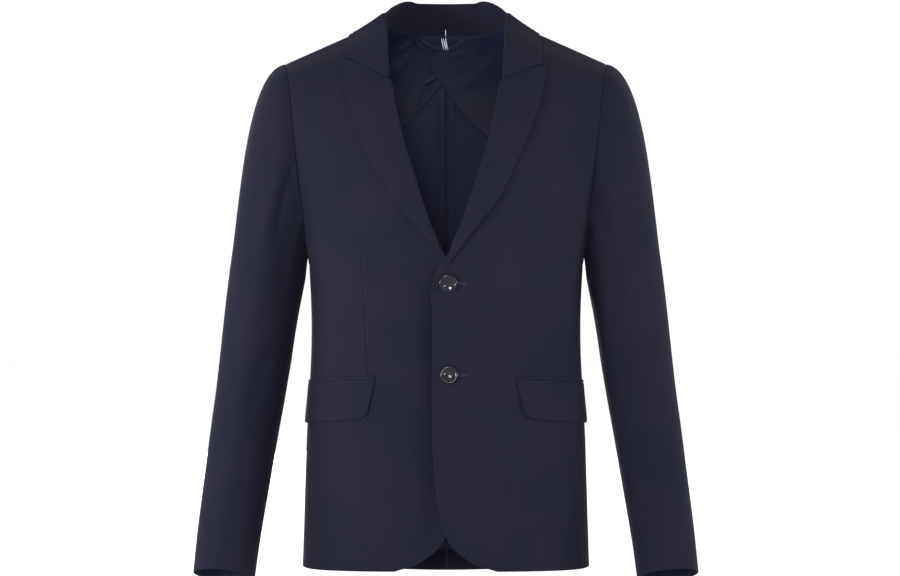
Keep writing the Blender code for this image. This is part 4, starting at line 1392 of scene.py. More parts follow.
    def build(self) -> None:
        """Makes the four sleeve pieces."""
        for side in Side:
            grid, n, angles = self.rings(side)
            count = len(angles)
            first = int(np.argmin(np.abs(angles - self.forearm_seam)))
            second = int(np.argmin(np.abs(angles - self.elbow_seam)))
            pieces = {
                "sleeve_top_": [k % count for k in range(second, first + count + 1)],
                "sleeve_under_": list(range(first, second + 1)),
            }
            for word, picks in pieces.items():
                shell = Shell(word + side.word + "_cloth", grid[:, picks], n[:, picks], SLEEVE_CLOTH, 0.5)
                self.wardrobe.cloth(
                    shell, (word + side.word,), "hung", inside=Finish.SATIN, rests_on=("front_left_cloth",),
                )


# ---------------------------------------------------------------- lapels and collar


LAPEL = Table(
    key=(0.0, 0.1, 0.22, 0.35, 0.5, 0.65, 0.8, 0.92, 1.0),
    columns=dict(
        roll_z=(-303, -287, -265, -240, -207, -172, -135, -102, -80.3),
        roll_x=(6.5, 14, 24, 33.5, 44, 54.5, 63, 69.5, 73),
        left_x=(-2.5, 39, 65, 82, 99, 114.5, 126, 131.5, 133),
        left_z=(-330, -277, -245, -213, -176, -138, -103, -78, -61.8),
        right_x=(20, 38, 66, 85, 106, 122, 132.5, 136, 136),
        right_z=(-297, -277, -245, -213, -176, -138, -101, -71, -50.1),
        belly=(0.67, 0.74, 0.8, 0.84, 0.84, 0.8, 0.74, 0.67, 0.63),
    ),
)
COLLAR = Table(
    key=(0.0, 0.14, 0.28, 0.42, 0.54, 0.66, 0.8, 0.92, 1.0),
    columns=dict(
        height=(3.6, 5.6, 8.8, 13.5, 30.5, 41, 43.3, 41.7, 41.5),
        upright=(-0.6, -0.1, 0.4, 0.7, 0.85, 0.95, 1.0, 1.0, 1.0),
        lean=(0.5, 0.45, 0.42, 0.42, 0.3, 0.2, 0.14, 0.12, 0.12),
        left_x=(128.2, 127.8, 126.5, 124.5, 114.5, 94, 57, 23, 0),
        left_z=(-57.5, -45, -30, -14.7, -16.5, -19, -23, -26.4, -27),
        right_x=(134, 135.5, 133, 128, 116, 94, 57, 23, 0),
        right_z=(-48, -38.5, -26.5, -15.6, -17, -19, -23, -26.4, -27),
        bulge=(1.0, 1.4, 1.2, -0.8, -0.2, 2.4, 3.0, 2.8, 2.8),
    ),
)


@dataclass
class Lapels:
    """The facings: a short leg inside each front, the roll, then the turned-out face.

    Args:
        rows: Rows from the tongue at the button up to the gorge.
        roll_points: Points round the roll.
        face_points: Points from the roll to the outer edge.
        notch: Share of the top row where the collar's end meets it.
        tongue: Share of the length over which the lowest rows narrow.
        leg_gap: Gap between the leg and the front.
        gap: Gap between the face and the front.
        swell: Height of the soft swell beside the roll.
        edge_press: Depth of the pressed line along the outer edge.
        notch_rise: How far each side's top edge rises to the collar's end.
        proud: How far each lapel's lower part stands off the front.
        upper_proud: How far its upper part does.
    """

    wardrobe: Wardrobe
    rows: int = round(110 / COARSE)
    roll_points: int = 15
    face_points: int = round(46 / COARSE)
    notch: float = 0.68
    tongue: float = 0.1
    leg_gap: float = 1.2
    gap: float = 2.1
    swell: float = 0.9
    edge_press: float = 0.35
    notch_rise: dict = field(default_factory=lambda: {Side.LEFT: 4.2, Side.RIGHT: 2.6})
    proud: dict = field(default_factory=lambda: {Side.LEFT: 2.6, Side.RIGHT: 1.4})
    upper_proud: dict = field(default_factory=lambda: {Side.LEFT: 2.4, Side.RIGHT: 1.6})

    def grids(self, side: Side) -> tuple[Array, Array]:
        """Outer and inner faces, a row for each height.

        Args:
            side: The wearer's side.

        Returns:
            The two grids.
        """
        half = Half(side, False)
        t = np.linspace(0, 1, self.rows + 1)
        start_z = LAPEL.at("roll_z", t)
        end = np.stack([LAPEL.at(side.word + "_x", t), LAPEL.at(side.word + "_z", t)], axis=1)
        roll = np.stack([LAPEL.at("roll_x", t), start_z], axis=1)
        seat = np.stack([FRONT_EDGE.at("x", start_z), start_z], axis=1)
        width = np.linalg.norm(end - roll, axis=1)
        way = (end - roll) / width[:, None]
        q, tt = half.locate(*seat.T)
        n, base = half.normal(q, tt), half.point(q, tt)
        steady = way[np.maximum(np.arange(len(t)), np.argmax(t >= self.tongue))]
        across = unit(half.point(*half.locate(*(seat + steady * 4).T)) - base)
        low, high = -(CLOTH + self.leg_gap), self.gap + COLLAR_CLOTH
        mid, tall = (low - COLLAR_CLOTH + high) / 2, (high - low + COLLAR_CLOTH) / 2
        legs = 4 + 5 * ease((t - 0.02) / self.tongue)
        start = (0.25 + 0.75 * ease(t / 0.09))[:, None]
        outs, ins = [], []
        leg = seat + steady * legs[:, None]
        p, leg_n = half.over(*leg.T, np.full(len(t), low - COLLAR_CLOTH))
        outs.append(p)
        ins.append(p + leg_n * COLLAR_CLOTH)
        for a in np.radians(np.linspace(-90, 90, self.roll_points)):
            for line, r in ((outs, tall), (ins, tall - COLLAR_CLOTH)):
                reach = r + tall * 0.05
                ahead = 0.6 + reach * math.cos(a) * start
                line.append(base + n * (mid + r * math.sin(a)) - across * ahead)
        fullness = LAPEL.at("belly", t)
        for f in np.linspace(0, 1, self.face_points + 1)[1:]:
            spot = seat + (end - seat) * f
            bump = min((f / self.notch) ** 0.55, (1 - f) / (1 - self.notch))
            spot[:, 1] += self.notch_rise[side] * bump * ease((t - 0.86) / 0.14)
            near = (1 - f) * width
            belly = fullness * math.sin(math.pi * f) ** 2
            belly = belly + self.swell * bell((f - 0.16) / 0.14) * ease((0.62 - t) / 0.5)
            belly = belly - self.edge_press * edge_line(near)
            belly = belly + self.proud[side] * f * bell((t - 0.13) / 0.13)
            belly = belly + self.upper_proud[side] * f * f * bell((t - 0.62) / 0.22)
            lift = high + belly
            q, tt = half.locate(*spot.T)
            spot_n, face = half.normal(q, tt), half.point(q, tt)
            outs.append(face + spot_n * lift[:, None])
            ins.append(face + spot_n * (lift - COLLAR_CLOTH)[:, None])
        return np.stack(outs, axis=1), np.stack(ins, axis=1)

    def build(self) -> None:
        """Makes both lapels."""
        for side in Side:
            outer, inner = self.grids(side)
            shell = Shell("lapel_" + side.word + "_cloth", outer, unit(outer - inner), COLLAR_CLOTH, 0.75)
            under = ("front_" + side.word + "_cloth",)
            self.wardrobe.cloth(shell, ("lapel_" + side.word,), "folded", rests_on=under)


@dataclass
class Collar:
    """Stand, roll and fall, from one lapel's gorge round the neck to the other's.

    Args:
        sections: Sections of each side.
        roll: Radius of the roll.
        seat: How far the stand's foot lies over the neckline.
        sink: How far the very first row dips below it.
        rounded: Share of each side that is smoothed at the centre back.
        passes: Rounds of that smoothing.
        edge_seat: Gap between the undercollar's edge and the cloth below it.
        roll_points: Points round the roll.
        fall_points: Points down the fall.
        edge_press: Depth of the pressed line along the edge.
        corner: Share of a side where the neckline passes from the front to the back.
    """

    wardrobe: Wardrobe
    sections: int = round(150 / COARSE)
    roll: float = 3.6
    seat: float = 1.0
    sink: float = 2.0
    rounded: float = 0.1
    passes: int = round(80 / COARSE**2)
    edge_seat: float = 1.0
    roll_points: int = 13
    fall_points: int = 30
    edge_press: float = 0.3
    corner: float = 0.42

    def foot(self, side: Side, t: Array) -> tuple[Array, Array]:
        """The neckline's points and normals at the collar shares t.

        Args:
            side: The wearer's side.
            t: Shares from the collar's end to the centre back.

        Returns:
            The points and the normals.
        """
        f = np.clip((t - self.corner) / (1 - self.corner), 0, 1)
        behind = NECK_BACK.key[0] + (2.0 - NECK_BACK.key[0]) * (1 - f) ** 1.9
        ahead = NECK_FRONT.key[0] + (2.0 - NECK_FRONT.key[0]) * np.minimum(t / self.corner, 1)
        back, front = Half(side, True), Half(side, False)
        back_q = np.where(f < 1, NECK_BACK.at("share", behind), 0.0)
        front_q = NECK_FRONT.at("share", ahead)
        rear = (t > self.corner)[:, None]
        point = np.where(rear, back.point(back_q, behind), front.point(front_q, ahead))
        normal = np.where(rear, back.normal(back_q, behind), front.normal(front_q, ahead))
        return point, normal

    def half(self, side: Side, t: Array) -> tuple[Array, Array]:
        """Outer face and normals of one side's sections.

        Args:
            side: The wearer's side.
            t: Shares from the collar's end to the centre back.

        Returns:
            The two grids.
        """
        point, n = self.foot(side, t)
        for _ in range(8):
            n[1:-1] = unit(n[:-2] + 2 * n[1:-1] + n[2:])
        foot = point + n * self.seat
        along = np.gradient(point, axis=0)
        along[-1] = (1.0, 0.0, 0.0)
        inward = unit(np.cross(n, along))
        neck = np.stack([0 * t, 0 * t, foot[:, 2] + 12], axis=1)
        inward *= np.where(((neck - foot) * inward).sum(axis=1) < 0, -1.0, 1.0)[:, None]
        row = {k: COLLAR.at(k, t)[:, None] for k in COLLAR.columns}
        up = np.array([0, 0, 1.0])
        rise = unit(n * (1 - row["upright"]) + up * row["upright"] + inward * row["lean"])
        x, z = COLLAR.at(side.word + "_x", t), COLLAR.at(side.word + "_z", t)
        halves = [Half(side, back).over(x, z, 0 * t) for back in (False, True)]
        mix = ease((t - 0.43) / 0.1)[:, None]
        edge = halves[0][0] * (1 - mix) + halves[1][0] * mix
        edge_n = unit(halves[0][1] * (1 - mix) + halves[1][1] * mix)
        end = edge + edge_n * (self.edge_seat + UNDER_CLOTH + 2 * SEAM + COLLAR_CLOTH)
        top = foot + rise * row["height"]
        away = end - top
        away = unit(away - rise * (away * rise).sum(axis=1, keepdims=True))
        centre = foot + rise * (row["height"] - self.roll) + away * self.roll
        fall = unit(end - centre)
        fall_n = unit(rise - fall * (rise * fall).sum(axis=1, keepdims=True))
        turn = np.arccos(np.clip((fall_n * -away).sum(axis=1), -1, 1))[:, None]
        points, normals = [], []
        stand_top = centre - away * self.roll
        for f in np.linspace(0, 1, 9)[:-1]:
            points.append(foot + (stand_top - foot) * f - n * self.sink * (f == 0))
            normals.append(unit(inward * (1 - f) - away * f))
        for f in np.linspace(0, 1, self.roll_points):
            radial = -away * np.cos(turn * f) + rise * np.sin(turn * f)
            points.append(centre + radial * self.roll)
            normals.append(radial)
        begin = points[-1]
        width = np.linalg.norm(end - begin, axis=1, keepdims=True)
        for f in np.linspace(0, 1, self.fall_points)[1:]:
            press = -self.edge_press * edge_line((1 - f) * width)
            points.append(begin + (end - begin) * f + fall_n * (row["bulge"] * 4 * f * (1 - f) + press))
            normals.append(unit(fall_n * (1 - f) + edge_n * f))
        return np.stack(points, axis=1), np.stack(normals, axis=1)

    def build(self) -> None:
        """Makes the top collar and the undercollar beneath it."""
        t = np.linspace(0, 1, self.sections + 1)
        sides = [self.half(side, t) for side in (Side.RIGHT, Side.LEFT)]
        grid, n = (np.concatenate([sides[0][k][:-1], sides[1][k][::-1]]) for k in range(2))
        middle = bell((np.concatenate([t[:-1], t[::-1]]) - 1) / self.rounded)[1:-1, None, None]
        for _ in range(self.passes):
            for line in (grid, n):
                line[1:-1] += middle * 0.5 * (line[:-2] + line[2:] - 2 * line[1:-1])
        n = unit(n)
        true = grid_normals(grid)
        true *= np.sign((true * n).sum(axis=2, keepdims=True))
        n[1:-1, 9:-1] = true[1:-1, 9:-1]
        top = Shell("collar_cloth", grid, n, COLLAR_CLOTH, 0.75)
        self.wardrobe.cloth(top, ("top_collar",), "folded", rests_on=("back_left_cloth",))
        inset = grid[:, :-1] - n[:, :-1] * (COLLAR_CLOTH + 2 * SEAM)
        under = Shell("undercollar_cloth", inset, n[:, :-1], UNDER_CLOTH, 0.5)
        self.wardrobe.cloth(under, ("under_collar",), "folded", rests_on=("back_left_cloth",))


# ---------------------------------------------------------------- pockets


FLAP = Table(
    key=(0.0, 0.05, 0.12, 0.3, 0.5, 0.7, 0.88, 0.96, 1.0),
    columns=dict(
        top=(-476, -476.2, -476.6, -477.6, -479, -481, -483, -484, -484.5),
        bottom=(-521, -526, -528.6, -530.6, -532.4, -534.4, -536, -533.5, -528),
    ),
)


@dataclass
class Pockets:
    """Two hip flaps under narrow jets, and the chest welt.

    Args:
        first_x: Where each flap begins, from the centre line.
        length: The flap's length round the trunk.
        slant: How far its lower corner lies further on, as a share of its height.
        gap: Gap between the flap and the front.
        flare: How far its lower edge stands off.
        cloth: Thickness of the flap.
        flap_level: Height where the flap's way round the trunk is measured.
        jet_tall: Height of a jet.
        jet_cloth: Its thickness.
        jet_gap: Gap between it and the front.
        jet_level: Height where its way round the trunk is measured.
        columns: Columns of a flap or a jet.
        rows: Rows of a flap.
        welt_top: Height of the welt's top.
        welt_bottom: Height of its bottom.
        welt_x: Where it begins and ends.
        welt_slant: How far its first end leans under the lapel.
        welt_cloth: Its thickness.
        welt_gap: Gap between it and the front.
    """

    wardrobe: Wardrobe
    first_x: float = 94.0
    length: float = 148.0
    slant: float = 0.165
    gap: float = 0.5
    flare: float = 1.5
    cloth: float = 1.8
    flap_level: float = -505.0
    jet_tall: float = 4.5
    jet_cloth: float = 1.2
    jet_gap: float = 0.55
    jet_level: float = -478.0
    columns: int = 72
    rows: int = 26
    welt_top: float = -177.0
    welt_bottom: float = -205.0
    welt_x: tuple = (86.0, 171.5)
    welt_slant: float = 13.0
    welt_cloth: float = 1.4
    welt_gap: float = 0.35

    def ring(self, side: Side, angle: Array, z: Array) -> Array:
        """Points of the trunk at these angles from the side, through the front below 0.

        Args:
            side: The wearer's side.
            angle: Angles from the side, in radians.
            z: Heights.

        Returns:
            The points.
        """
        t = smooth(TRUNK.columns["side_z"], TRUNK.key, z)
        power = TRUNK.at("power", t)
        depth = np.where(angle < 0, TRUNK.at("front_y", t), TRUNK.at("back_y", t)) - SIDE_Y
        x = TRUNK.at("half_width", t) * np.abs(np.cos(angle)) ** (2 / power)
        y = SIDE_Y + depth * np.abs(np.sin(angle)) ** (2 / power)
        y = y - Half(side, False).lift(x, z) * ease((-angle - 0.15) / 0.3)
        return np.stack(np.broadcast_arrays(x * side.value, y, z), axis=-1)

    def ring_normal(self, side: Side, angle: Array, z: Array) -> Array:
        """Outward unit normals of the trunk, level with the ground.

        Args:
            side: The wearer's side.
            angle: Angles from the side, in radians.
            z: Heights.

        Returns:
            The normals.
        """
        along = self.ring(side, angle + 0.01, z) - self.ring(side, angle - 0.01, z)
        n = unit(np.cross(along, [0, 0, 1.0]))
        lean = np.tan(np.clip(angle, -1.2, 1.2))
        return n * np.where(n[..., 0] * side.value + n[..., 1] * lean < 0, -1.0, 1.0)[..., None]

    def angles(self, side: Side, z: float, gone: Array) -> Array:
        """Angles round the trunk at these distances from the flap's front end.

        Args:
            side: The wearer's side.
            z: The height to measure at.
            gone: Distances round the trunk.

        Returns:
            The angles.
        """
        angle = np.arange(-1.2, 0.9, 0.002)
        p = self.ring(side, angle, np.full(len(angle), z))
        keep = np.abs(p[:, 0]) >= self.first_x
        keep[np.argmax(keep):] = True
        angle, p = angle[keep], p[keep]
        run = np.concatenate([[0], np.cumsum(np.linalg.norm(np.diff(p, axis=0), axis=1))])
        return np.interp(gone, run, angle)

    def flap(self, side: Side) -> Shell:
        """The flap, standing a little proud at its lower edge.

        Args:
            side: The wearer's side.

        Returns:
            Its shell.
        """
        s = np.linspace(0, 1, self.columns + 1)[None, :]
        f = np.linspace(0, 1, self.rows + 1)[:, None]
        drop = self.slant * (FLAP.at("top", 0.3) - FLAP.at("bottom", 0.3)) * f
        angle = self.angles(side, self.flap_level, s * self.length + drop * (1 - s))
        z = FLAP.at("top", s) * (1 - f) + FLAP.at("bottom", s) * f
        n = self.ring_normal(side, angle, z)
        edge = np.minimum(np.minimum((1 - f) * 50, s * self.length), (1 - s) * self.length)
        press = -0.4 * bell((edge - 3.0) / 1.5)
        lift = self.gap + self.flare * f**1.5 + self.cloth + press
        lift = lift + 0.5 * np.sin(math.pi * s) * f * np.sin(s * 9 + side.value)
        face = self.ring(side, angle, z) + n * lift[..., None]
        return Shell("pocket_flap_" + side.word + "_cloth", face, n, self.cloth, 0.8)

    def jet(self, side: Side) -> Shell:
        """The narrow folded strip above the flap.

        Args:
            side: The wearer's side.

        Returns:
            Its shell.
        """
        s = np.linspace(-0.004, 1.0, self.columns + 1)[None, :]
        f = np.linspace(0, 1, 5)[:, None]
        gone = np.broadcast_to(s * self.length, (len(f), self.columns + 1))
        angle = self.angles(side, self.jet_level, gone)
        z = FLAP.at("top", s) + self.jet_tall + (0.5 - self.jet_tall) * f
        n = self.ring_normal(side, angle, z)
        lift = self.jet_gap + self.jet_cloth + 0.25 * np.sin(math.pi * f)
        face = self.ring(side, angle, z) + n * lift[..., None]
        return Shell("pocket_jet_" + side.word + "_cloth", face, n, self.jet_cloth, 0.7)

    def welt(self) -> Shell:
        """The chest welt, whose hidden end follows the lapel's edge.

        Returns:
            Its shell.
        """
        half = Half(Side.LEFT, False)
        f = np.linspace(0, 1, 15)[:, None]
        s = np.linspace(0, 1, 50)[None, :]
        x = (self.welt_x[0] - self.welt_slant * f) * (1 - s) + self.welt_x[1] * s
        z = self.welt_top + (self.welt_bottom - self.welt_top) * f + 0 * s
        tall = self.welt_top - self.welt_bottom
        edge = np.minimum(f * tall, (1 - s) * (self.welt_x[1] - self.welt_x[0]))
        press = -0.35 * bell((edge - 3.0) / 1.2)
        face, n = half.over(x, z, self.welt_gap + self.welt_cloth + press)
        return Shell("chest_welt_cloth", face, n, self.welt_cloth, 0.6)

    def build(self) -> None:
        """Makes flaps, jets and welt."""
        for side in Side:
            under = ("front_" + side.word + "_cloth",)
            self.wardrobe.cloth(
                self.flap(side), ("pocket_flap_" + side.word,), "hung", inside=Finish.SATIN, rests_on=under,
            )
            self.wardrobe.cloth(self.jet(side), ("pocket_jet_" + side.word,), "laid", rests_on=under)
        self.wardrobe.cloth(self.welt(), ("chest_welt",), "laid", rests_on=("front_left_cloth",))


# ---------------------------------------------------------------- buttons and buttonholes


def bands(rings: int, count: int) -> list:
    """Faces between rings of points that follow one another.

    Args:
        rings: How many rings there are.
        count: Points of each.

    Returns:
        Four point numbers for each face.
    """
    faces = []
    for r in range(rings - 1):
        for k in range(count):
            b = (k + 1) % count
            faces.append((r * count + k, r * count + b, (r + 1) * count + b, (r + 1) * count + k))
    return faces


def tube(path: Array, radius: float, turns: int = 8) -> tuple[Array, Array]:
    """A round thread with closed ends along a path.

    Args:
        path: Points of its middle, in millimetres.
        radius: Its radius.
        turns: Points round it.

    Returns:
        Points and faces of four corners.
    """
    path = np.asarray(path, float)
    along = unit(np.gradient(path, axis=0))
    start = np.array([0.31, 0.87, 0.38])
    side = unit(np.cross(along, start))
    up = np.cross(along, side)
    a = np.linspace(0, 2 * math.pi, turns, endpoint=False)
    taper = np.full(len(path), radius)
    taper[0] = taper[-1] = radius * 0.35
    ring = side[:, None] * np.cos(a)[None, :, None] + up[:, None] * np.sin(a)[None, :, None]
    points = (path[:, None] + ring * taper[:, None, None]).reshape(-1, 3)
    faces = bands(len(path), turns)
    for first, order in ((0, -1), ((len(path) - 1) * turns, 1)):
        for k in range(1, turns // 2):
            quad = (k - 1, k, turns - k - 1, turns - k)
            quad = tuple(first + v % turns for v in quad)
            faces.append(quad if order > 0 else quad[::-1])
    return points, np.array(faces)


def thread_object(name: str, strokes: list, radius: float, turns: int = 8) -> bpy.types.Object:
    """One object of many short threads.

    Args:
        name: The object's name.
        strokes: A path of points for each thread.
        radius: Radius of the threads.
        turns: Points round them.

    Returns:
        The new object.
    """
    points, faces, count = [], [], 0
    for path in strokes:
        p, f = tube(path, radius, turns)
        points.append(p)
        faces.append(f + count)
        count += len(p)
    points = np.concatenate(points)
    return mesh_object(name, points, np.concatenate(faces), points[:, (0, 2)] * MM)


@dataclass
class Closure:
    """The two front buttons, their thread, and the worked buttonholes beside them.

    Args:
        places: Each button's node, distance from the centre and height.
        radius: Radius of a button.
        thick: Its thickness.
        seat: How far its back lies off the front.
        hole: Radius of its holes.
        pitch: Distance between neighbouring holes.
        segments: Points round it.
        hole_start: Where the buttonhole begins, from the button's middle.
        hole_length: Its length.
        stitch: How far its stitches reach on each side.
        thread_radius: Radius of all these threads.
        half: The front that they lie on.
    """

    # Shares of the radius, and heights from the back or depths below the rim's highest line.
    BACK_PROFILE = ((0.0, 0.3), (0.5, 0.05), (0.8, 0.3), (0.93, 0.9), (0.985, 1.7))
    FACE_PROFILE = (
        (1.0, 1.7), (0.985, 1.0), (0.95, 0.45), (0.90, 0.12), (0.85, 0.0), (0.80, 0.05), (0.76, 0.28),
        (0.73, 0.5), (0.66, 0.73), (0.55, 0.99), (0.42, 1.23), (0.28, 1.42), (0.14, 1.53), (0.0, 1.56),
    )
    # A thread between two holes: shares of their distance, and heights over the button's floor.
    BOW = ((-0.62, -1.4), (-0.5, 0.15), (-0.25, 0.5), (0.0, 0.58), (0.25, 0.5), (0.5, 0.15), (0.62, -1.4))

    wardrobe: Wardrobe
    places: tuple = (("button_upper", 3.0, -349.0), ("button_lower", 4.0, -469.5))
    radius: float = 11.9
    thick: float = 4.2
    seat: float = 0.9
    hole: float = 1.05
    pitch: float = 3.4
    segments: int = 72
    hole_start: float = 7.0
    hole_length: float = 15.5
    stitch: float = 1.7
    thread_radius: float = 0.3
    half: Half = field(default_factory=lambda: Half(Side.LEFT, False))

    def profile(self) -> list:
        """Radius and height of the turned shape, from the middle of the back to that of the face."""
        behind = [(self.radius * share, height) for share, height in self.BACK_PROFILE]
        return behind + [(self.radius * share, self.thick - depth) for share, depth in self.FACE_PROFILE]

    def seat_at(self, x: float, z: float) -> tuple[Array, Array, Array, Array]:
        """Seat, outward, sideways and upward ways of a button.

        Args:
            x: Distance from the centre.
            z: Height.

        Returns:
            A point and three unit vectors.
        """
        p, n = self.half.over(np.array(x), np.array(z), self.seat)
        side = unit(np.cross([0, 0, 1.0], n))
        return p, n, side, np.cross(n, side)

    def button(self, name: str, x: float, z: float) -> bpy.types.Object:
        """A dished button with four drilled holes.

        Args:
            name: The button's node.
            x: Distance from the centre.
            z: Height.

        Returns:
            The new object.
        """
        p, n, side, up = self.seat_at(x, z)
        a = np.linspace(0, 2 * math.pi, self.segments, endpoint=False)
        ring = side * np.cos(a)[:, None] + up * np.sin(a)[:, None]
        profile = self.profile()
        points = [p + n * height + ring * max(radius, 0.02) for radius, height in profile]
        faces = bands(len(profile), self.segments)
        last = (len(profile) - 1) * self.segments
        centre = len(profile) * self.segments
        points.append(np.array([p + n * profile[0][1], p + n * profile[-1][1]]))
        for k in range(0, self.segments, 2):
            b, c = (k + 1) % self.segments, (k + 2) % self.segments
            faces.append((centre, c, b, k))
            faces.append((centre + 1, last + k, last + b, last + c))
        obj = mesh_object(name + "_horn", np.concatenate(points), np.array(faces))
        for i in (-1, 1):
            for j in (-1, 1):
                self.drill(obj, p + (side * i + up * j) * self.pitch / 2, n)
        return self.wardrobe.hard(obj, Finish.BUTTON, (name,))

    def drill(self, obj: bpy.types.Object, spot: Array, n: Array) -> None:
        """Cuts one round hole through a button.

        Args:
            obj: The button.
            spot: Where the hole crosses the button's seat.
            n: The way the button faces.
        """
        points, faces = tube(np.array([spot - n * 2, spot, spot + n * (self.thick + 2)]), self.hole, 20)
        cutter = mesh_object(obj.name + "_drill", points, faces)
        cut = obj.modifiers.new("hole", "BOOLEAN")
        cut.operation = "DIFFERENCE"
        cut.object = cutter
        graph = bpy.context.evaluated_depsgraph_get()
        mesh = bpy.data.meshes.new_from_object(obj.evaluated_get(graph))
        obj.modifiers.clear()
        obj.data = mesh
        mesh.polygons.foreach_set("use_smooth", np.ones(len(mesh.polygons), bool))
        mesh.set_sharp_from_angle(angle=math.radians(40))
        bpy.data.objects.remove(cutter, do_unlink=True)

    def thread(self, name: str, x: float, z: float) -> bpy.types.Object:
        """Two flat rows of thread between the holes, and the shank under the button.

        Args:
            name: The button's node.
            x: Distance from the centre.
            z: Height.

        Returns:
            The new object.
        """
        p, n, side, up = self.seat_at(x, z)
        floor = self.thick - 1.5
        strokes = []
        for i in (-1, 1):
            for k in (-0.55, 0.0, 0.55):
                middle = p + side * (i * self.pitch / 2 + k * 0.9)
                bow = [middle + up * (self.pitch * s) + n * (floor + h) for s, h in self.BOW]
                strokes.append(np.array(bow))
        for i in (-1, 1):
            for j in (-1, 1):
                spot = p + side * (i * self.pitch / 2) + up * (j * self.pitch / 2)
                strokes.append(np.array([spot + n * h for h in (-0.8, 0.4, 1.6, 2.6)]))
        obj = thread_object(name + "_thread", strokes, self.thread_radius)
        return self.wardrobe.hard(obj, Finish.THREAD, slot="buttons")

    def buttonhole(self, name: str, x: float, z: float) -> bpy.types.Object:
        """A worked eyelet and two lips of close stitches, running back from the button.

        Args:
            name: The button's node.
            x: The button's distance from the centre.
            z: Height.

        Returns:
            The new object.
        """
        begin = x + self.hole_start
        end = begin + self.hole_length
        spots = []
        for along in np.linspace(begin, end, 30):
            for lip in (-1, 1):
                spots.append([(along, z + lip * 0.22, 0.15), (along, z + lip * 0.55, 0.62)])
                spots[-1].append((along + 0.1, z + lip * self.stitch, 0.1))
        for a in np.radians(np.linspace(-75, 75, 7)):
            c, s = math.cos(a), math.sin(a)
            steps = ((0.25, 0.15), (0.6, 0.6), (self.stitch + 0.1, 0.1))
            spots.append([(end + r * c, z + r * s, h) for r, h in steps])
        points, _ = self.half.over(*np.moveaxis(np.array(spots), -1, 0))
        obj = thread_object(name + "_buttonhole", list(points), self.thread_radius, 6)
        return self.wardrobe.hard(obj, Finish.THREAD, slot="wool")

    def build(self) -> None:
        """Makes buttons, thread and buttonholes."""
        for name, x, z in self.places:
            self.button(name, x, z)
            self.thread(name, x, z)
            self.buttonhole(name, x, z - 0.3)


# ---------------------------------------------------------------- inside of the back


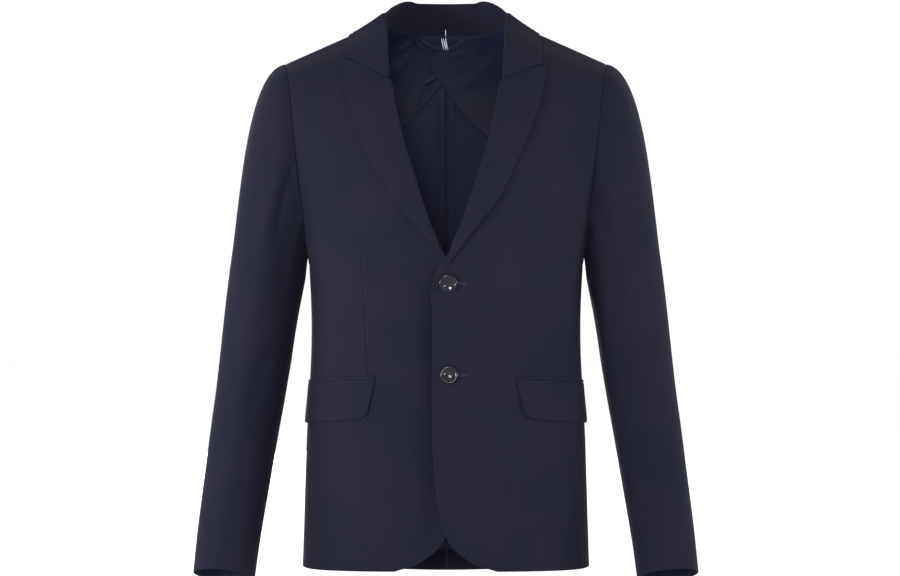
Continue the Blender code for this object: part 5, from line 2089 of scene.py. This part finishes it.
@dataclass
class Inside:
    """Half linings, bound seam edges, hem turn-ups and the hanger loop, inside the back.

    Args:
        layers: How far each layer lies off the back's outer face.
        binding_x: Where each binding begins and ends, from the centre.
        binding_top: Row where it ends below the lining.
        binding_inset: How far its stitches lie from its edges.
        loop_wide: Width of the hanger loop.
        stitch_gap: Distance between the binding's stitches.
        stitch_radius: Radius of their thread.
        tack_radius: Radius of the tack's thread.
        lower_edge: Height of each lining's lower edge, by the distance from the centre.
        wrinkles: The linings' small creases.
        loop: The loop's way, and how far its middle stands off.
    """

    # A slanting stroke of the tack, from its upper end: steps aside, heights and depths.
    TACK_STROKE = ((0.0, -7.4, -12.6), (1.2, -13.0, -14.6), (2.6, -18.6, -15.2), (3.9, -24.2, -14.6))

    wardrobe: Wardrobe
    layers: dict = field(default_factory=lambda: dict(binding=-2.5, right=-4.1, left=-6.0, loop=-6.9))
    binding_x: tuple = (1.2, 12.5)
    binding_top: float = 1.80
    binding_inset: float = 2.2
    loop_wide: float = 6.0
    stitch_gap: float = 2.6
    stitch_radius: float = 0.36
    tack_radius: float = 0.75
    lower_edge: dict = field(default_factory=lambda: {
        Side.LEFT: Table(
            (-43, -33, -19, -3, 4, 22, 38, 60, 100, 185),
            dict(z=(-16, -32, -55, -77, -88, -110, -129, -148, -172, -186)),
        ),
        Side.RIGHT: Table(
            (-40, -24, -6, 14, 30, 46, 64, 100, 185),
            dict(z=(-22, -40, -62, -84, -102, -120, -138, -166, -186)),
        ),
    })
    wrinkles: dict = field(default_factory=lambda: {
        Side.LEFT: (
            Fold(51, -19, 10, 3.0, -1.7, 60, 1),
            Fold(66, -40, 16, 4.0, -1.3, 66, 1),
            Fold(44, -62, 26, 7.0, -1.1, 40, 2),
            Fold(12, -34, 14, 4.0, -0.9, 20, 1),
        ),
        Side.RIGHT: (
            Fold(22, -68, 8, 2.2, -1.9, 153, 0.6),
            Fold(70, -8, 12, 2.6, -2.2, 149, 1),
            Fold(57, -20, 16, 3.2, -2.4, 147, 1.5),
            Fold(62, -44, 18, 4.5, -1.4, 130, 1.5),
            Fold(50, -80, 30, 8.0, -1.2, 60, 2),
        ),
    })
    loop: Table = Table(
        (0.0, 0.125, 0.25, 0.375, 0.5, 0.625, 0.75, 0.875, 1.0),
        dict(
            x=(-33, -31, -24, -13, -3, 8, 17, 23, 25),
            z=(-10, -13.5, -18.5, -22.5, -24, -22.5, -18, -13.5, -10),
            stand=(1.2, 2.6, 4, 5, 5.4, 5, 4, 2.6, 1.2),
        ),
    )

    def lining(self, side: Side) -> Shell:
        """A half lining, from the neck and shoulder down to its slanting lower edge.

        Args:
            side: The wearer's side.

        Returns:
            Its shell.
        """
        half, edge = Half(side, True), self.lower_edge[side]
        lay = self.layers[side.word]
        f = (np.linspace(0, 1, 110) ** 1.15)[:, None]
        x = edge.key[0] + (edge.key[-1] - edge.key[0]) * f
        q, t_low = half.locate(x, edge.at("z", x))
        near = np.abs(q)
        top = np.interp(near, NECK_BACK.columns["share"], NECK_BACK.key) - 0.004
        top = np.minimum(np.where(near < NECK_CORNER, top, 1.992), 1.992)
        g = np.linspace(0, 1, 46)[None, :]
        t = top + (t_low - top) * g
        q = np.minimum(half.share(x, t), 0.955)
        ripple = 0.45 * np.sin(x * 0.11 + 1.3 * side.value) * np.sin(g * 7.0 + x * 0.02)
        ripple = ripple * ease(g * 4) * ease((1 - g) * 5)
        crease = -0.9 * bell((x * side.value + 8 + 40 * g) / 7) * ease(g * 3)
        n = half.normal(q, t)
        face = half.point(q, t)
        lay = lay + (ripple + crease) * 0.55
        for fold in self.wrinkles[side]:
            lay = lay + fold.rise(x, face[..., 2])
        face = face + n * lay[..., None]
        return Shell("back_lining_" + side.word + "_cloth", face, n, THIN, 0.5)

    def strip(self, side: Side, name: str, keys: Array, shares: Array) -> Shell:
        """A strip inside the back at the binding's layer.

        Args:
            side: The wearer's side.
            name: The piece's name.
            keys: Row keys.
            shares: Shares of the rows, one line for all or one for each.

        Returns:
            Its shell.
        """
        half = Half(side, True)
        t = np.broadcast_to(keys[:, None], (len(keys), shares.shape[-1]))
        q = np.broadcast_to(shares, t.shape)
        n = half.normal(q, t)
        return Shell(name, half.point(q, t) + n * self.layers["binding"], n, THIN, 0.5)

    def binding_edge(self, side: Side) -> list:
        """Rows of small stitches along both edges of a bound seam edge.

        Args:
            side: The wearer's side.

        Returns:
            A path for each stitch.
        """
        half = Half(side, True)
        first, last = self.binding_x
        x = np.array([first + self.binding_inset, last - self.binding_inset])[:, None, None]
        z = np.arange(-92.0, -690.0, -self.stitch_gap)[None, :, None] + np.array([0.0, -1.0, -2.0])
        points, _ = half.over(x, z, np.array([-3.5, -3.76, -3.5]) + 0 * z)
        return list(points.reshape(-1, 3, 3))

    def hanger(self) -> Shell:
        """The hanger loop, hanging in a bow below the neck.

        Returns:
            Its shell.
        """
        half = Half(Side.LEFT, True)
        s = np.linspace(0, 1, 70)
        x, z, stand = self.loop.at("x", s), self.loop.at("z", s), self.loop.at("stand", s)
        way = unit(np.stack([np.gradient(x), np.gradient(z)], axis=1))
        f = np.linspace(-0.5, 0.5, 9)[:, None]
        gx, gz = x - way[:, 1] * f * self.loop_wide, z + way[:, 0] * f * self.loop_wide
        crown = 0.5 * (1 - (2 * f) ** 2)
        p, _ = half.over(gx, gz, self.layers["loop"] - stand - crown * 0.6)
        _, n = half.over(np.broadcast_to(x, gx.shape), np.broadcast_to(z, gx.shape), 0 * gx)
        return Shell("hanger_loop_cloth", p, n, THIN, 0.5)

    def tack(self) -> list:
        """The bar tack: an upright row over the loop, and slanting strokes down its middle.

        Returns:
            A path for each stroke.
        """
        half = Half(Side.LEFT, True)
        strokes = [[(-2.7, 4.4, -10.2), (-2.6, 0.0, -11.6), (-2.5, -6.0, -12.4)]]
        for x in (-8.2, -5.4, -2.6, 0.2):
            strokes.append([(x + step, z, depth) for step, z, depth in self.TACK_STROKE])
        return [half.over(*np.array(spots).T)[0] for spots in strokes]

    def build(self) -> None:
        """Makes everything inside the back."""
        for side in Side:
            self.wardrobe.cloth(
                self.lining(side), ("back_lining_" + side.word,), "hung", Finish.SATIN,
                rests_on=("back_" + side.word + "_cloth",),
            )
            half = Half(side, True)
            keys = np.linspace(0.075, self.binding_top, 150)
            shares = half.share(np.linspace(*self.binding_x, 7)[None, :], keys[:, None])
            shell = self.strip(side, "seam_binding_" + side.word + "_cloth", keys, shares)
            # The binding takes the inside wool, whose lighter colour is painted light for the inside of the
            # back.
            self.wardrobe.cloth(
                shell, ("seam_binding_" + side.word,), "laid", Finish.INNER,
                rests_on=("back_left_cloth",), slot="lining",
            )
            keys = np.linspace(0.003, 0.056, 12)
            shares = 0.012 + 0.918 * np.sin(math.pi / 2 * np.linspace(0, 1, 60))
            shell = self.strip(side, "hem_turnup_" + side.word + "_cloth", keys, shares[None, :])
            self.wardrobe.cloth(shell, ("hem_turnup_" + side.word,), "folded", rests_on=("back_left_cloth",))
            strokes = self.binding_edge(side)
            obj = thread_object("binding_stitches_" + side.word, strokes, self.stitch_radius, 5)
            self.wardrobe.hard(obj, Finish.DARK_THREAD, slot="wool")
        self.wardrobe.cloth(
            self.hanger(), ("hanger_loop",), "hung", Finish.SATIN, rests_on=("back_lining_left_cloth",),
        )
        obj = thread_object("hanger_tack", self.tack(), self.tack_radius)
        self.wardrobe.hard(obj, Finish.PALE_THREAD, slot="lining")


# ---------------------------------------------------------------- studio


@dataclass
class Studio:
    """A plain pale floor, soft lights and the photograph's camera.

    Args:
        eye: The camera's place, in metres.
        lens: Its focal length, in millimetres.
        sensor: Width of its sensor, in millimetres.
        floor_z: Height of the floor.
        floor_size: Its width.
        white: Brightness of the plain sky.
        lights: Each light's name, place, width and power in watts.
        aim: What the lights face.
    """

    eye: tuple = (0.0054, -4.0, -0.3557)
    lens: float = 118.5
    sensor: float = 36.0
    floor_z: float = -0.80
    floor_size: float = 30.0
    white: float = 1.06
    lights: tuple = (
        ("key", (-1.8, -1.6, -0.48), 0.6, 44.0),
        ("front", (-0.3, -4.25, -0.02), 0.65, 68.0),
        ("glint", (1.3, -4.0, -0.75), 0.5, 19.0),
        ("left", (-3.0, -0.2, -0.35), 0.9, 40.0),
        ("right", (3.0, -0.7, -0.35), 0.9, 64.0),
        ("behind", (-1.0, 3.9, -0.1), 1.2, 60.0),
    )
    aim: tuple = (0.0, 0.0, -0.33)

    def floor(self) -> None:
        """Makes the floor."""
        made, shader = principled("pale_floor", (0.94, 0.94, 0.94), 0.9)
        tree = made.node_tree
        spot = tree.nodes.new("ShaderNodeTexCoord")
        grain = node(tree, "ShaderNodeTexNoise", Scale=6.0, Detail=2.0)
        link(tree, spot.outputs["Object"], grain.inputs["Vector"])
        colours = ramp(tree, grain.outputs["Fac"], (0.93, 0.93, 0.93), (0.95, 0.95, 0.95))
        link(tree, colours, shader.inputs["Base Color"])
        mesh = bpy.data.meshes.new("floor")
        s, z = self.floor_size / 2, self.floor_z
        mesh.from_pydata([(-s, -s, z), (s, -s, z), (s, s, z), (-s, s, z)], [], [(0, 1, 2, 3)])
        mesh.materials.append(made)
        obj = bpy.data.objects.new("floor", mesh)
        bpy.context.scene.collection.objects.link(obj)
        obj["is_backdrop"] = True

    def light(self, name: str, place: tuple, size: float, power: float) -> None:
        """Makes one square soft light that faces the jacket.

        Args:
            name: The light's name.
            place: Where it stands.
            size: Its width, in metres.
            power: Its power, in watts.
        """
        data = bpy.data.lights.new(name, "AREA")
        data.size = size
        data.energy = power
        obj = bpy.data.objects.new(name, data)
        obj.location = place
        way = np.array(self.aim) - np.array(place)
        turn = math.atan2(way[1], way[0]) - math.pi / 2
        tilt = math.atan2(math.hypot(way[0], way[1]), -way[2])
        obj.rotation_euler = (tilt, 0.0, turn)
        bpy.context.scene.collection.objects.link(obj)

    def build(self) -> None:
        """Makes floor, sky, lights and camera."""
        self.floor()
        world = bpy.data.worlds.new("studio")
        world.use_nodes = True
        sky = world.node_tree.nodes["Background"]
        sky.inputs["Color"].default_value = (1.0, 1.0, 1.0, 1.0)
        sky.inputs["Strength"].default_value = self.white
        bpy.context.scene.world = world
        bpy.context.scene.view_settings.view_transform = "Standard"
        for light in self.lights:
            self.light(*light)
        data = bpy.data.cameras.new("camera")
        data.lens = self.lens
        data.sensor_width = self.sensor
        data.dof.use_dof = False
        camera = bpy.data.objects.new("camera", data)
        camera.location = self.eye
        camera.rotation_euler = (math.pi / 2, 0.0, 0.0)
        bpy.context.scene.collection.objects.link(camera)
        bpy.context.scene.camera = camera


def corners() -> list:
    """The shown object's lowest and highest corners, as plain lists."""
    return [list(corner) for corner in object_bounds()]


def main() -> None:
    """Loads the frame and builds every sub-assembly in order."""
    logging.basicConfig(level=logging.INFO, format="%(name)s: %(message)s", stream=sys.stdout)
    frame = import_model()
    LOG.info("frame with %d nodes", len(frame["nodes"]))
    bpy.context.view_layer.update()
    Studio().build()
    wardrobe = Wardrobe()
    panels = Body(wardrobe).build()
    Sleeves(wardrobe, panels).build()
    Lapels(wardrobe).build()
    Collar(wardrobe).build()
    Pockets(wardrobe).build()
    Closure(wardrobe).build()
    Inside(wardrobe).build()
    bpy.context.view_layer.update()


if __name__ == "__main__":
    main()
